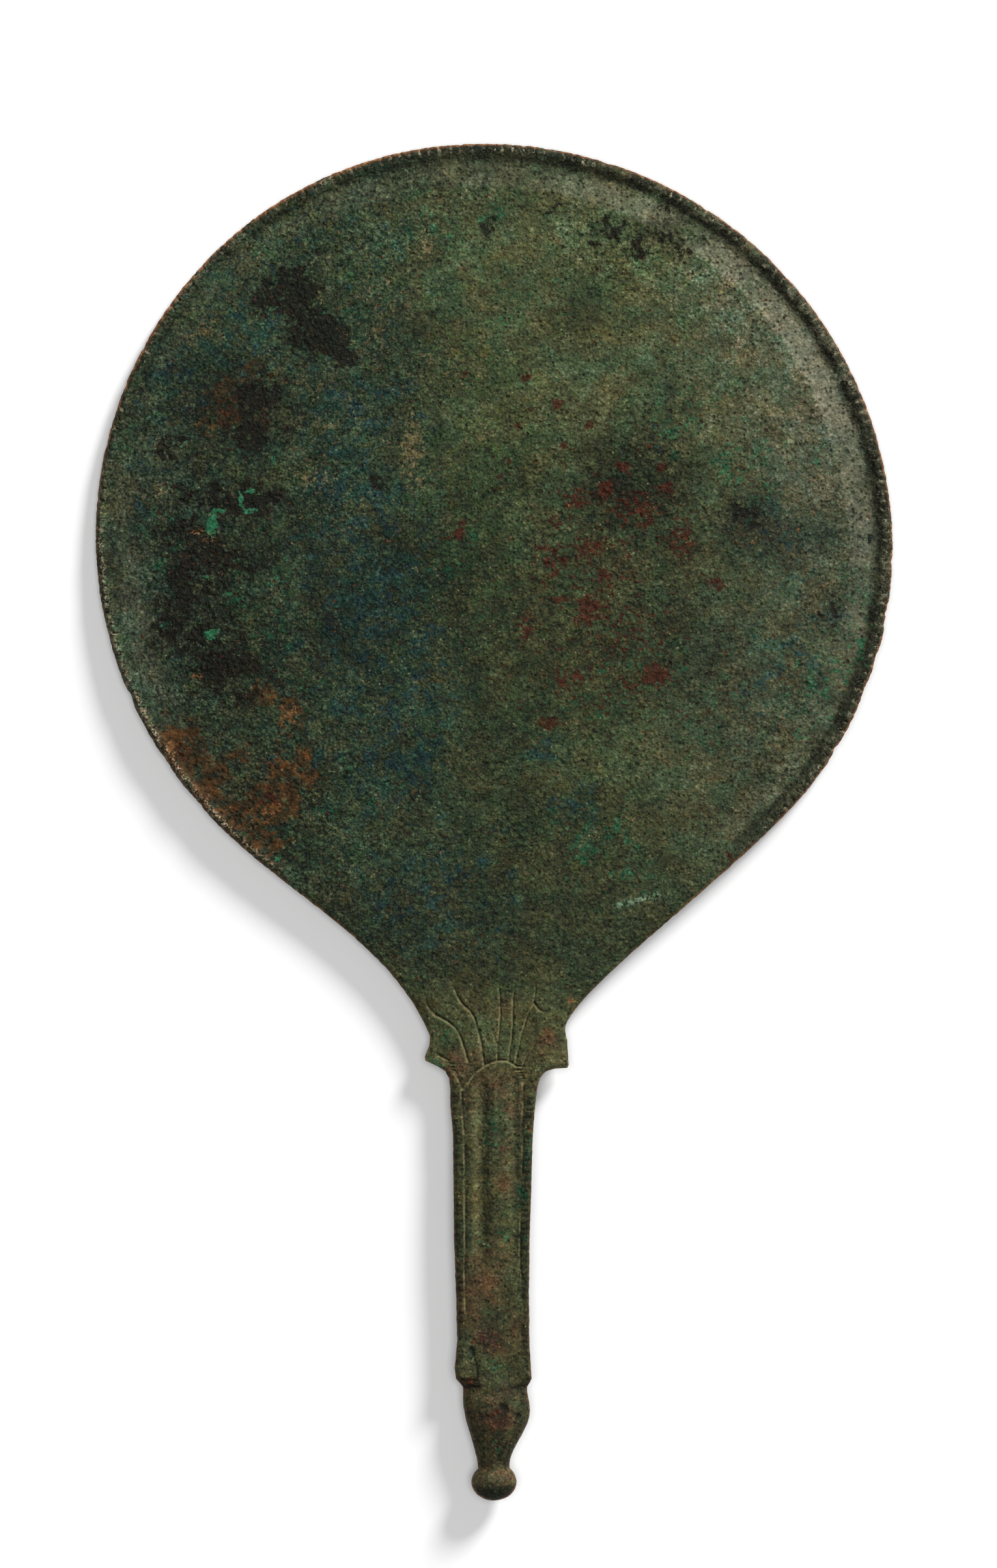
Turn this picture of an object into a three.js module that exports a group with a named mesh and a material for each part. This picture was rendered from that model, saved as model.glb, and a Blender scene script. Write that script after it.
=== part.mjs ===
// Ancient bronze hand mirror, cast in one piece: a round disc with a raised lip,
// a neck that ends in two small pointed wings, a flat handle with two shallow flutes
// between raised borders, and a tapered round terminal with a small knob.
//
// Frame: millimetres, the mirror lies on its back with its face up. +Y runs from the knob
// to the top of the disc, +Z is up, and the origin is below the middle of the bounding box.
// The face is slightly domed. The back is hollow to match and rests on a flat ring.

import * as THREE from 'three';

// ---------------------------------------------------------------- driving sizes (mm)
const DISC_X = -0.55;            // centre of the disc
const DISC_Y = 51.43;
const DISC_R = 73.47;            // mean radius of the disc
const OUT_OF_ROUND = [           // hand-finished outline: lobes, cosine and sine amounts
  [1, 0.34, -0.22],
  [2, -0.21, -0.56],
  [3, 0.15, 0.21],
  [4, 0.16, -0.02],
  [5, -0.04, -0.11],
];
const DISC_FROM = -37.53;        // degrees where the round outline leaves for the right shoulder
const DISC_TO = 225.67;          // and where it meets the left shoulder
const SHOULDER_PULL = { left: [18.95, 18.76, 111.7], right: [18.57, 6.12, 118.0] };
const WAIST = { left: [-11.82, -39.84], right: [13.06, -39.24] };

// wings at the foot of the neck: a pointed one on the left, a square one on the right
const WING_LEFT = [[-12.0, -41.5], [-12.83, -43.6], [-12.72, -44.25], [-10.3, -45.35], [-9.1, -46.15], [-8.35, -47.5], [-8.15, -49.4]];
const WING_RIGHT = [[13.30, -40.6], [13.58, -45.05], [13.35, -45.55], [11.0, -45.70], [9.35, -46.2], [8.3, -47.4], [7.82, -49.0]];
const WING_SPINE = [-41.6, -43.9, -44.7, -45.9, -46.9, -48.2, -49.8];

// handle half-widths left and right of x = 0, at heights along the handle
const HANDLE_TOP = -52.3;
const HANDLE_FOOT = -102.8;
const HANDLE_WIDTHS = [
  [-52.3, 8.10, 7.40],
  [-58.0, 7.62, 6.98],
  [-76.7, 7.42, 6.38],
  [-88.0, 7.02, 6.24],
  [-95.9, 6.85, 6.36],
  [-100.7, 7.30, 6.60],
  [-102.8, 7.00, 6.74],
];

// terminal: round body that tapers to a thin neck, then a knob
const BODY_TOP = -104.3;
const BODY_LEFT = { wide: 5.80, thin: 3.00, from: -106.5, to: -120.0 };
const BODY_RIGHT = { wide: 6.45, thin: 2.70, from: -108.8, to: -118.8 };
const BODY_RIGHT_TOP = 5.95;     // half-width on the right where the body starts
const KNOB_Y = -121.8;
const KNOB_LEFT = 4.25;
const KNOB_RIGHT = 4.00;
const KNOB_LENGTH = 3.40;        // from its widest line down to its end
const TERMINAL_MID = 4.55;       // height of the terminal's axis
const BODY_HALF_START = 2.45;    // half-thickness where the body starts
const BODY_HALF_THICK = 3.45;    // at its shoulder
const BODY_HALF_THIN = 2.35;     // at the thin neck
const KNOB_HALF = 3.15;

// face of the disc, by distance in from the edge
const LIP = [[0, 2.55], [0.45, 3.22], [0.95, 3.42], [1.6, 3.22], [2.2, 2.86], [2.9, 2.72], [5.2, 3.05], [7.9, 3.42]];
const CREST_R = 65.5;            // the dome starts here
const CREST_Z = 3.42;
const DOME_Z = 5.40;             // top of the dome
const PLATE = 1.80;              // thickness of the disc

// back of the disc
const EDGE_LOW = 0.45;           // the outer edge clears the table by this
const RING_OUT = 0.5;            // the flat ring it rests on, distances in from the edge
const RING_IN = 2.6;
const RING_BLEND = 1.0;

// neck and handle
const LOW_LIFT = 1.65;           // the face of the disc rises by this towards the neck
const NECK_START_Z = 5.20;       // face of the neck where it leaves the disc
const NECK_Z = 5.40;             // face of the neck at the wings
const NECK_THICK = 3.2;
const HANDLE_Z = 6.25;           // face of the handle
const HANDLE_THICK = 3.85;
const BORDER = 1.75;             // width of the raised borders
const FLUTES = [                 // the two flutes between them: middle line, half-width, depth
  [-2.35, 0.95, 0.38],
  [3.65, 0.80, 0.30],
];
const FLUTE_ROLL = [-4.15, 0.55, 0.10];  // a low roll beside the left flute
const PANEL_DEPTH = 0.12;        // the whole panel is this much lower than its borders
const FLUTE_FADE = [-75, -88];   // where the flutes run out
const CROWN_START = [-84, -99];  // where the plain, crowned foot takes over
const ARRIS = 0.45;              // rounding of the edges

// mesh steps
const DISC_STEPS = 86;
const SHOULDER_STEPS = 12;
const HANDLE_STEPS = 12;
const BODY_STEPS = 11;
const KNOB_STEPS = 6;
const TOP_INSET = [0, 0.45, 0.95, 1.6, 2.2, 2.9, 5.2, 7.9];
const TOP_SHARE = [0, 0.05, 0.13, 0.22, 0.265, 0.31, 0.48, 0.66];
const TOP_INNER = [[0.75, 0.77], [0.5, 0.86], [0.25, 0.93]];
const LOW_INSET = [0, 0.5, 2.6, 3.6, 7.9];
const LOW_SHARE = [0, 0.07, 0.2, 0.35, 0.55];
const LOW_INNER = [[0.66, 0.75], [0.33, 0.9]];

// ---------------------------------------------------------------- helpers
const clamp = (v, a, b) => Math.min(b, Math.max(a, v));
const mix = (a, b, t) => a + (b - a) * t;
const rad = (d) => (d * Math.PI) / 180;
const ease = (v, a, b) => { const t = clamp((v - a) / (b - a), 0, 1); return t * t * (3 - 2 * t); };
function along(rows, v, col) {   // straight-line reading of a table whose first column rises or falls
  const s = rows[0][0] < rows[rows.length - 1][0] ? 1 : -1;
  if (s * v <= s * rows[0][0]) return rows[0][col];
  for (let i = 1; i < rows.length; i++) {
    if (s * v <= s * rows[i][0]) {
      return mix(rows[i - 1][col], rows[i][col], (v - rows[i - 1][0]) / (rows[i][0] - rows[i - 1][0]));
    }
  }
  return rows[rows.length - 1][col];
}

// ---------------------------------------------------------------- outline
function discRadius(a) {
  return OUT_OF_ROUND.reduce((r, [k, c, s]) => r + c * Math.cos(k * a) + s * Math.sin(k * a), DISC_R);
}
function discPoint(deg) {
  const a = rad(deg), r = discRadius(a);
  return new THREE.Vector2(DISC_X + r * Math.cos(a), DISC_Y + r * Math.sin(a));
}
function shoulder(side) {        // curve from the disc to the waist
  const right = side === 'right';
  const deg = right ? DISC_FROM : DISC_TO;
  const [a, b, turn] = SHOULDER_PULL[side];
  const p0 = discPoint(deg);
  const way = discPoint(deg + 0.05).sub(discPoint(deg - 0.05)).normalize().multiplyScalar(right ? -a : a);
  const p3 = new THREE.Vector2(...WAIST[side]);
  const p2 = p3.clone().add(new THREE.Vector2(Math.cos(rad(turn)), Math.sin(rad(turn))).multiplyScalar(b));
  return new THREE.CubicBezierCurve(p0, p0.clone().add(way), p2, p3);
}
const lift = (y) => LOW_LIFT * (1 - ease(y, 16, 64));
const swell = (x, [at, half, high]) => high * Math.exp(-(((x - at) / half) ** 2));
const handleHalf = (y, right) => along(HANDLE_WIDTHS, y, right ? 2 : 1);
function bodyHalf(y, right) {
  const b = right ? BODY_RIGHT : BODY_LEFT;
  const lead = right ? mix(BODY_RIGHT_TOP, b.wide, ease(y, BODY_TOP, b.from)) : b.wide;
  const w = mix(lead, b.thin, ease(y, b.from, b.to));
  const d = (y - KNOB_Y) / KNOB_LENGTH;
  const k = Math.abs(d) < 1 ? (right ? KNOB_RIGHT : KNOB_LEFT) * Math.sqrt(1 - d * d) : 0;
  return Math.max(w, k);
}
function bodyThick(y) {
  const s = mix(BODY_HALF_START, BODY_HALF_THICK, ease(y, BODY_TOP, -108.5));
  const w = mix(s, BODY_HALF_THIN, ease(y, -108.5, -118.8));
  const d = (y - KNOB_Y) / KNOB_LENGTH;
  return Math.max(w, Math.abs(d) < 1 ? KNOB_HALF * Math.sqrt(1 - d * d) : 0);
}

// Each column holds an outline point and the spine point that it shrinks towards.
const spine = [new THREE.Vector2(DISC_X, DISC_Y)];
const sideColumns = { left: [], right: [] };
{
  const addPair = (l, r, y) => {
    const x = (l.x + r.x) / 2;
    spine.push(new THREE.Vector2(x, y));
    sideColumns.left.push({ p: l, s: spine.length - 1 });
    sideColumns.right.push({ p: r, s: spine.length - 1 });
  };
  const L = shoulder('left'), R = shoulder('right');
  const waistY = (WAIST.left[1] + WAIST.right[1]) / 2;
  for (let k = 1; k <= SHOULDER_STEPS; k++) {
    const t = k / SHOULDER_STEPS;
    const l = L.getPointAt(t), r = R.getPointAt(t);
    // the spine slides from the centre of the disc down to the waist
    const g = Math.pow(t, 0.8);
    const y = mix(DISC_Y, waistY, g);
    const x = mix(DISC_X, (WAIST.left[0] + WAIST.right[0]) / 2, g);
    spine.push(new THREE.Vector2(x, y));
    sideColumns.left.push({ p: l, s: spine.length - 1 });
    sideColumns.right.push({ p: r, s: spine.length - 1 });
  }
  WING_LEFT.forEach((p, k) => addPair(new THREE.Vector2(...p), new THREE.Vector2(...WING_RIGHT[k]), WING_SPINE[k]));
  for (let k = 0; k <= HANDLE_STEPS; k++) {
    const y = mix(HANDLE_TOP, HANDLE_FOOT, k / HANDLE_STEPS);
    addPair(new THREE.Vector2(-handleHalf(y, false), y), new THREE.Vector2(handleHalf(y, true), y), y);
  }
  for (let k = 0; k < BODY_STEPS; k++) {
    const y = mix(BODY_TOP, KNOB_Y + 0.9, k / (BODY_STEPS - 1));
    addPair(new THREE.Vector2(-bodyHalf(y, false), y), new THREE.Vector2(bodyHalf(y, true), y), y);
  }
  // the end of the knob fans out from one spine point
  spine.push(new THREE.Vector2((KNOB_RIGHT - KNOB_LEFT) / 2, KNOB_Y));
  for (let k = 0; k < KNOB_STEPS; k++) {
    const a = rad((90 * k) / KNOB_STEPS);
    const y = KNOB_Y - KNOB_LENGTH * Math.sin(a);
    const cx = (KNOB_RIGHT - KNOB_LEFT) / 2, hw = (KNOB_RIGHT + KNOB_LEFT) / 2;
    sideColumns.left.push({ p: new THREE.Vector2(cx - hw * Math.cos(a), y), s: spine.length - 1 });
    sideColumns.right.push({ p: new THREE.Vector2(cx + hw * Math.cos(a), y), s: spine.length - 1 });
  }
}
const columns = [];              // anticlockwise, seen from above
for (let k = 0; k <= DISC_STEPS; k++) columns.push({ p: discPoint(mix(DISC_FROM, DISC_TO, k / DISC_STEPS)), s: 0 });
columns.push(...sideColumns.left);
columns.push({ p: new THREE.Vector2((KNOB_RIGHT - KNOB_LEFT) / 2, KNOB_Y - KNOB_LENGTH), s: spine.length - 1 });
columns.push(...sideColumns.right.slice().reverse());

// ---------------------------------------------------------------- heights
function faceHeight(x, y, e, u, w) {
  const r = Math.hypot(x - DISC_X, y - DISC_Y);
  const dome = CREST_Z + (DOME_Z - CREST_Z) * (1 - Math.min(1, (r / CREST_R) ** 2));
  const lip = along(LIP, e, 1);
  const disc = (e < 7.9 && r > CREST_R - 6 ? mix(lip, Math.max(dome, CREST_Z), ease(e, 7.0, 7.9)) : dome) + lift(y);
  // neck: a plain crowned plate that climbs towards the handle
  const neckMid = mix(NECK_START_Z, NECK_Z, ease(y, -5, -40));
  const neck = neckMid - 0.55 * (1 - ease(e, 0, 4)) - ARRIS * (1 - ease(e, 0, 0.6));
  let z = mix(disc, neck, ease(y, 4, -22));
  // handle
  const rise = mix(NECK_Z, HANDLE_Z, ease(y, -42, -72));
  const t = clamp((e - BORDER) / Math.max(0.1, w - BORDER), 0, 1);
  const run = ease(y, -45.5, -49) * (1 - ease(y, FLUTE_FADE[0], FLUTE_FADE[1]));
  const border = 0.18 * Math.sin(Math.PI * clamp(e / BORDER, 0, 1)) - ARRIS * (1 - ease(e, 0, 0.5));
  const crown = 0.25 * ease(y, CROWN_START[0], CROWN_START[1]) * (1 - u * u);
  const hollow = PANEL_DEPTH * Math.sin(Math.PI * t) + swell(x, FLUTES[0]) + swell(x, FLUTES[1]) - swell(x, FLUTE_ROLL);
  const handle = rise + border + crown - run * hollow;
  z = mix(z, handle, ease(y, -41, -47));
  // terminal
  if (y < -101) {
    const round = TERMINAL_MID + Math.max(0.12, bodyThick(Math.max(y, KNOB_Y)) * Math.pow(Math.max(0, 1 - Math.pow(u, 2.15)), 0.5));
    z = mix(z, round, ease(y, HANDLE_FOOT + 0.4, BODY_TOP + 0.2));
  }
  return z;
}
function backHeight(x, y, e, u) {
  const r = Math.hypot(x - DISC_X, y - DISC_Y);
  const dome = CREST_Z + (DOME_Z - CREST_Z) * (1 - Math.min(1, (r / CREST_R) ** 2));
  const inner = dome + lift(y) - PLATE - 0.35 * ease(r, 50, 71);
  let disc = inner;
  if (e < RING_IN + RING_BLEND) {
    disc = e < RING_OUT ? EDGE_LOW * (1 - e / RING_OUT) : 0;
    if (e > RING_IN) disc = mix(0, inner, ease(e, RING_IN, RING_IN + RING_BLEND));
  }
  const neckMid = mix(NECK_START_Z, NECK_Z, ease(y, -5, -40)) - NECK_THICK;
  const neck = neckMid + ARRIS * (1 - ease(e, 0, 0.6));
  let z = mix(disc, neck, ease(y, 4, -22));
  const rise = mix(NECK_Z - NECK_THICK, HANDLE_Z - HANDLE_THICK, ease(y, -42, -72));
  const handle = rise + 0.5 * (1 - ease(e, 0, 1.2)) * 0.9;
  z = mix(z, handle, ease(y, -41, -47));
  if (y < -101) {
    const round = TERMINAL_MID - Math.max(0.12, bodyThick(Math.max(y, KNOB_Y)) * Math.pow(Math.max(0, 1 - Math.pow(u, 2.15)), 0.5));
    z = mix(z, round, ease(y, HANDLE_FOOT + 0.4, BODY_TOP + 0.2));
  }
  return z;
}

// ---------------------------------------------------------------- one closed solid
const xyz = [];
const tris = [];
const put = (x, y, z) => { xyz.push(x, y, z); return xyz.length / 3 - 1; };
const tri = (a, b, c) => { if (a !== b && b !== c && c !== a) tris.push(a, b, c); };

const topSpine = spine.map((p) => {
  const w = p.y > -40 ? 30 : p.y > -101 ? 7 : 5;
  return put(p.x, p.y, faceHeight(p.x, p.y, w, 0, w));
});
const lowSpine = spine.map((p) => put(p.x, p.y, backHeight(p.x, p.y, 30, 0)));

function ring(inset, share, inner, height) {
  return columns.map(({ p, s }) => {
    const c = spine[s];
    const full = p.distanceTo(c);
    const slim = ease(p.y, -8, -46);             // 0 on the disc, 1 from the wings down
    const square = squareness(p, c);
    const out = [];
    inset.forEach((e, k) => out.push(Math.min(mix(e / square, share[k] * full, slim), full * 0.97)));
    inner.forEach(([a, b]) => {
      const left = full - out[inset.length - 1];
      out.push(mix(full - left * a, b * full, slim));
    });
    return out.map((d) => {
      const u = clamp(1 - d / full, 0, 1);
      const x = mix(c.x, p.x, u), y = mix(c.y, p.y, u);
      // distance in from the edge, square to it
      return put(x, y, height(x, y, d * square, u, full));
    });
  });
}
function squareness(p, c) {      // how directly a column crosses the outline
  const i = columns.findIndex((q) => q.p === p);
  const a = columns[(i + columns.length - 1) % columns.length].p, b = columns[(i + 1) % columns.length].p;
  const t = b.clone().sub(a).normalize();
  const d = p.clone().sub(c).normalize();
  return Math.max(0.35, Math.abs(t.x * d.y - t.y * d.x));
}
const top = ring(TOP_INSET, TOP_SHARE, TOP_INNER, faceHeight);
const low = ring(LOW_INSET, LOW_SHARE, LOW_INNER, backHeight);

columns.forEach((col, i) => {
  const n = (i + 1) % columns.length;
  const strip = (A, B, flip) => {
    for (let j = 0; j < A.length - 1; j++) {
      if (flip) { tri(A[j], A[j + 1], B[j + 1]); tri(A[j], B[j + 1], B[j]); }
      else { tri(A[j], B[j + 1], A[j + 1]); tri(A[j], B[j], B[j + 1]); }
    }
  };
  strip([...top[i], topSpine[col.s]], [...top[n], topSpine[columns[n].s]], false);
  strip([...low[i], lowSpine[col.s]], [...low[n], lowSpine[columns[n].s]], true);
  // the outer edge
  tri(low[i][0], low[n][0], top[n][0]);
  tri(low[i][0], top[n][0], top[i][0]);
});

const geometry = new THREE.BufferGeometry();
geometry.setAttribute('position', new THREE.Float32BufferAttribute(xyz, 3));
geometry.setIndex(tris);
geometry.computeBoundingBox();
const middle = geometry.boundingBox.getCenter(new THREE.Vector3());
geometry.translate(-middle.x, -middle.y, 0);   // origin below the middle, table at z = 0
geometry.computeVertexNormals();

const bronze = new THREE.MeshStandardMaterial({ color: 0x2c3122, roughness: 0.72, metalness: 0.35 });
const mirror = new THREE.Mesh(geometry, bronze);
mirror.name = 'mirror';

const group = new THREE.Group();
group.add(mirror);

export default group;
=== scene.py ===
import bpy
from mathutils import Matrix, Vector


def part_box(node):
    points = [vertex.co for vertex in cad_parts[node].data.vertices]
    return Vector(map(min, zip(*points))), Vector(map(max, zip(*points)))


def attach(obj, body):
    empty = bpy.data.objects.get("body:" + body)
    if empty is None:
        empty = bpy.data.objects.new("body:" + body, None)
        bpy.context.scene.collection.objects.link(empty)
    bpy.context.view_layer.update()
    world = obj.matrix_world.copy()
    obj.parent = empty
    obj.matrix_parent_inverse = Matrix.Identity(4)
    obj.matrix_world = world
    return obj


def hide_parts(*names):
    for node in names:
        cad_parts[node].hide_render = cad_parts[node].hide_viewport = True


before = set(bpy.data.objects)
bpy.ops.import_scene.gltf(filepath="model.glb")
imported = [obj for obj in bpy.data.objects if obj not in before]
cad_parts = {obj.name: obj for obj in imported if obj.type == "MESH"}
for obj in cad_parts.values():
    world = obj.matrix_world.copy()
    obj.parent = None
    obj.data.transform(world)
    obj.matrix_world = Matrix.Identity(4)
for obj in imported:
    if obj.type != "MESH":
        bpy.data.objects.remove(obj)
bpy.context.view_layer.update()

import math

import bpy
import numpy as np
from mathutils import Vector
from mathutils.geometry import delaunay_2d_cdt
from mathutils.kdtree import KDTree

MM = 0.001

# --------------------------------------------------------------------------
# sizes in mm, the same as the cast solid's
# --------------------------------------------------------------------------
DISC_X, DISC_Y, DISC_R = -0.55, 51.43, 73.47
OUT_OF_ROUND = [(1, 0.34, -0.22), (2, -0.21, -0.56), (3, 0.15, 0.21), (4, 0.16, -0.02), (5, -0.04, -0.11)]
DISC_FROM, DISC_TO = -37.53, 225.67
SHOULDER_PULL = {"left": (18.95, 18.76, 111.7), "right": (18.57, 6.12, 118.0)}
WAIST = {"left": (-11.82, -39.84), "right": (13.06, -39.24)}
WING_LEFT = [(-12.0, -41.5), (-12.83, -43.6), (-12.72, -44.25), (-10.3, -45.35), (-9.1, -46.15), (-8.35, -47.5), (-8.15, -49.4)]
WING_RIGHT = [(13.30, -40.6), (13.58, -45.05), (13.35, -45.55), (11.0, -45.70), (9.35, -46.2), (8.3, -47.4), (7.82, -49.0)]
WING_SPINE = [-41.6, -43.9, -44.7, -45.9, -46.9, -48.2, -49.8]
HANDLE_TOP, HANDLE_FOOT = -52.3, -102.8
HANDLE_WIDTHS = np.array([
    (-52.3, 8.10, 7.40), (-58.0, 7.62, 6.98), (-76.7, 7.42, 6.38), (-88.0, 7.02, 6.24),
    (-95.9, 6.85, 6.36), (-100.7, 7.30, 6.60), (-102.8, 7.00, 6.74)])
BODY_TOP = -104.3
BODY_LEFT = (5.80, 3.00, -106.5, -120.0)
BODY_RIGHT = (6.45, 2.70, -108.8, -118.8)
BODY_RIGHT_TOP = 5.95
KNOB_Y, KNOB_LEFT, KNOB_RIGHT, KNOB_LENGTH = -121.8, 4.25, 4.00, 3.40
TERMINAL_MID, BODY_HALF_START, BODY_HALF_THICK, BODY_HALF_THIN, KNOB_HALF = 4.55, 2.45, 3.45, 2.35, 3.15
LIP = np.array([(0, 2.55), (0.45, 3.22), (0.95, 3.42), (1.6, 3.22), (2.2, 2.86), (2.9, 2.72), (5.2, 3.05), (7.9, 3.42)])
CREST_R, CREST_Z, DOME_Z, PLATE = 65.5, 3.42, 5.40, 1.80
EDGE_LOW, RING_OUT, RING_IN, RING_BLEND = 0.45, 0.5, 2.6, 1.0
LOW_LIFT, NECK_START_Z, NECK_Z, NECK_THICK, HANDLE_Z, HANDLE_THICK = 1.65, 5.20, 5.40, 3.2, 6.25, 3.85
BORDER, ARRIS, PANEL_DEPTH = 1.75, 0.45, 0.12
FLUTES, FLUTE_ROLL = [(-2.35, 0.95, 0.38), (3.65, 0.80, 0.30)], (-4.15, 0.55, 0.10)
FLUTE_FADE, CROWN_START = (-75, -88), (-84, -99)

# the solid's own shift, so that its origin is below the middle of its box
low_corner, high_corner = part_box("mirror")
SHIFT_X, SHIFT_Y = 0.0962, 0.2287


# --------------------------------------------------------------------------
# helpers
# --------------------------------------------------------------------------
def clip01(v):
    return np.clip(v, 0.0, 1.0)


def ease(v, a, b):
    t = clip01((np.asarray(v, float) - a) / (b - a))
    return t * t * (3 - 2 * t)


def mix(a, b, t):
    return a + (b - a) * t


def _corner(ix, iy, seed):
    h = (ix * 374761393 + iy * 668265263 + seed * 144269504) & 0xFFFFFFFF
    h = ((h ^ (h >> 13)) * 1274126177) & 0xFFFFFFFF
    h = ((h ^ (h >> 15)) * 2246822519) & 0xFFFFFFFF
    return (h ^ (h >> 16)) / 4294967296.0


def wave(x, y, size, seed):
    """Smooth gradient noise, about -1 to 1, with features of the given size."""
    x, y = np.asarray(x, float) / size + 1000.5, np.asarray(y, float) / size + 1000.5
    ix, iy = np.floor(x).astype(np.int64), np.floor(y).astype(np.int64)
    fx, fy = x - ix, y - iy
    ux, uy = fx ** 3 * (fx * (fx * 6 - 15) + 10), fy ** 3 * (fy * (fy * 6 - 15) + 10)

    def g(dx, dy):
        a = _corner(ix + dx, iy + dy, seed) * 2 * math.pi
        return np.cos(a) * (fx - dx) + np.sin(a) * (fy - dy)

    n = mix(mix(g(0, 0), g(1, 0), ux), mix(g(0, 1), g(1, 1), ux), uy)
    return n * 1.6


def layers(x, y, size, seed, count=3):
    out, amp, total = 0.0, 1.0, 0.0
    for k in range(count):
        out = out + amp * wave(x, y, size / 2 ** k, seed + 17 * k)
        total += amp
        amp *= 0.55
    return out / total


# --------------------------------------------------------------------------
# outline: columns go anticlockwise, each with the spine point it shrinks to
# --------------------------------------------------------------------------
def disc_radius(a):
    r = DISC_R
    for k, c, s in OUT_OF_ROUND:
        r = r + c * np.cos(k * a) + s * np.sin(k * a)
    return r


def disc_point(deg):
    a = np.radians(deg)
    r = disc_radius(a)
    return np.stack([DISC_X + r * np.cos(a), DISC_Y + r * np.sin(a)], -1)


def even(points, step, extra=None):
    """Points at even spacing along a polyline, with the columns of extra read off at the same places."""
    d = np.r_[0, np.cumsum(np.hypot(*np.diff(points, axis=0).T))]
    n = max(2, int(round(d[-1] / step)))
    t = np.linspace(0, d[-1], n + 1)
    out = np.stack([np.interp(t, d, points[:, k]) for k in range(2)], -1)
    if extra is None:
        return out
    return out, np.stack([np.interp(t, d, extra[:, k]) for k in range(extra.shape[1])], -1)


def shoulder(side):
    right = side == "right"
    deg = DISC_FROM if right else DISC_TO
    a, b, turn = SHOULDER_PULL[side]
    p0 = disc_point(deg)
    way = disc_point(deg + 0.05) - disc_point(deg - 0.05)
    way = way / np.hypot(*way) * (-a if right else a)
    p3 = np.array(WAIST[side])
    p1 = p0 + way
    p2 = p3 + b * np.array([math.cos(math.radians(turn)), math.sin(math.radians(turn))])
    t = np.linspace(0, 1, 241)[:, None]
    return (1 - t) ** 3 * p0 + 3 * (1 - t) ** 2 * t * p1 + 3 * (1 - t) * t * t * p2 + t ** 3 * p3


def handle_half(y, right):
    return np.interp(-np.asarray(y, float), -HANDLE_WIDTHS[:, 0], HANDLE_WIDTHS[:, 2 if right else 1])


def knob_span(y):
    d = (np.asarray(y, float) - KNOB_Y) / KNOB_LENGTH
    return np.sqrt(np.clip(1 - d * d, 0, None))


def body_half(y, right):
    wide, thin, y0, y1 = BODY_RIGHT if right else BODY_LEFT
    lead = mix(BODY_RIGHT_TOP, wide, ease(y, BODY_TOP, y0)) if right else wide
    w = mix(lead, thin, ease(y, y0, y1))
    return np.maximum(w, (KNOB_RIGHT if right else KNOB_LEFT) * knob_span(y))


def body_thick(y):
    s = mix(BODY_HALF_START, BODY_HALF_THICK, ease(y, BODY_TOP, -108.5))
    w = mix(s, BODY_HALF_THIN, ease(y, -108.5, -118.8))
    return np.maximum(w, KNOB_HALF * knob_span(y))


KNOB_X = (KNOB_RIGHT - KNOB_LEFT) / 2


def side_line(side, step):
    """One side from the disc down to the end of the knob: points and their spine points."""
    right = side == "right"
    pts, spn = [], []
    curve = shoulder(side)
    d = np.r_[0, np.cumsum(np.hypot(*np.diff(curve, axis=0).T))]
    g = (d / d[-1]) ** 0.8
    waist_x, waist_y = (WAIST["left"][0] + WAIST["right"][0]) / 2, (WAIST["left"][1] + WAIST["right"][1]) / 2
    s = np.stack([mix(DISC_X, waist_x, g), mix(DISC_Y, waist_y, g)], -1)
    p, q = even(curve, step, s)
    pts.append(p[1:]); spn.append(q[1:])
    wing = WING_RIGHT if right else WING_LEFT
    mid = [((l[0] + r[0]) / 2, y) for l, r, y in zip(WING_LEFT, WING_RIGHT, WING_SPINE)]
    h0 = (float(handle_half(HANDLE_TOP, True)) - float(handle_half(HANDLE_TOP, False))) / 2
    corner = np.array([WAIST[side], *wing, ((1 if right else -1) * float(handle_half(HANDLE_TOP, right)), HANDLE_TOP)])
    cs = np.array([(waist_x, waist_y), *mid, (h0, HANDLE_TOP)])
    for k in range(len(corner) - 1):
        p, q = even(corner[k:k + 2], step * 0.8, cs[k:k + 2])
        pts.append(p[1:]); spn.append(q[1:])
    y = np.linspace(HANDLE_TOP, HANDLE_FOOT, int(round((HANDLE_TOP - HANDLE_FOOT) / step)) + 1)[1:]
    wl, wr = handle_half(y, False), handle_half(y, True)
    pts.append(np.stack([wr if right else -wl, y], -1)); spn.append(np.stack([(wr - wl) / 2, y], -1))
    a = np.array([(pts[-1][-1]), ((1 if right else -1) * float(body_half(BODY_TOP, right)), BODY_TOP)])
    b = np.array([spn[-1][-1], ((float(body_half(BODY_TOP, True)) - float(body_half(BODY_TOP, False))) / 2, BODY_TOP)])
    p, q = even(a, step * 0.8, b)
    pts.append(p[1:]); spn.append(q[1:])
    y = np.linspace(BODY_TOP, KNOB_Y, 400)
    wl, wr = body_half(y, False), body_half(y, True)
    p, q = even(np.stack([wr if right else -wl, y], -1), step * 0.8, np.stack([(wr - wl) / 2, y], -1))
    pts.append(p[1:]); spn.append(q[1:])
    t = np.radians(np.linspace(0, 90, 19))[1:]
    hw = (KNOB_RIGHT + KNOB_LEFT) / 2
    pts.append(np.stack([KNOB_X + (1 if right else -1) * hw * np.cos(t), KNOB_Y - KNOB_LENGTH * np.sin(t)], -1))
    spn.append(np.tile([KNOB_X, KNOB_Y], (len(t), 1)))
    return np.concatenate(pts), np.concatenate(spn)


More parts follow.
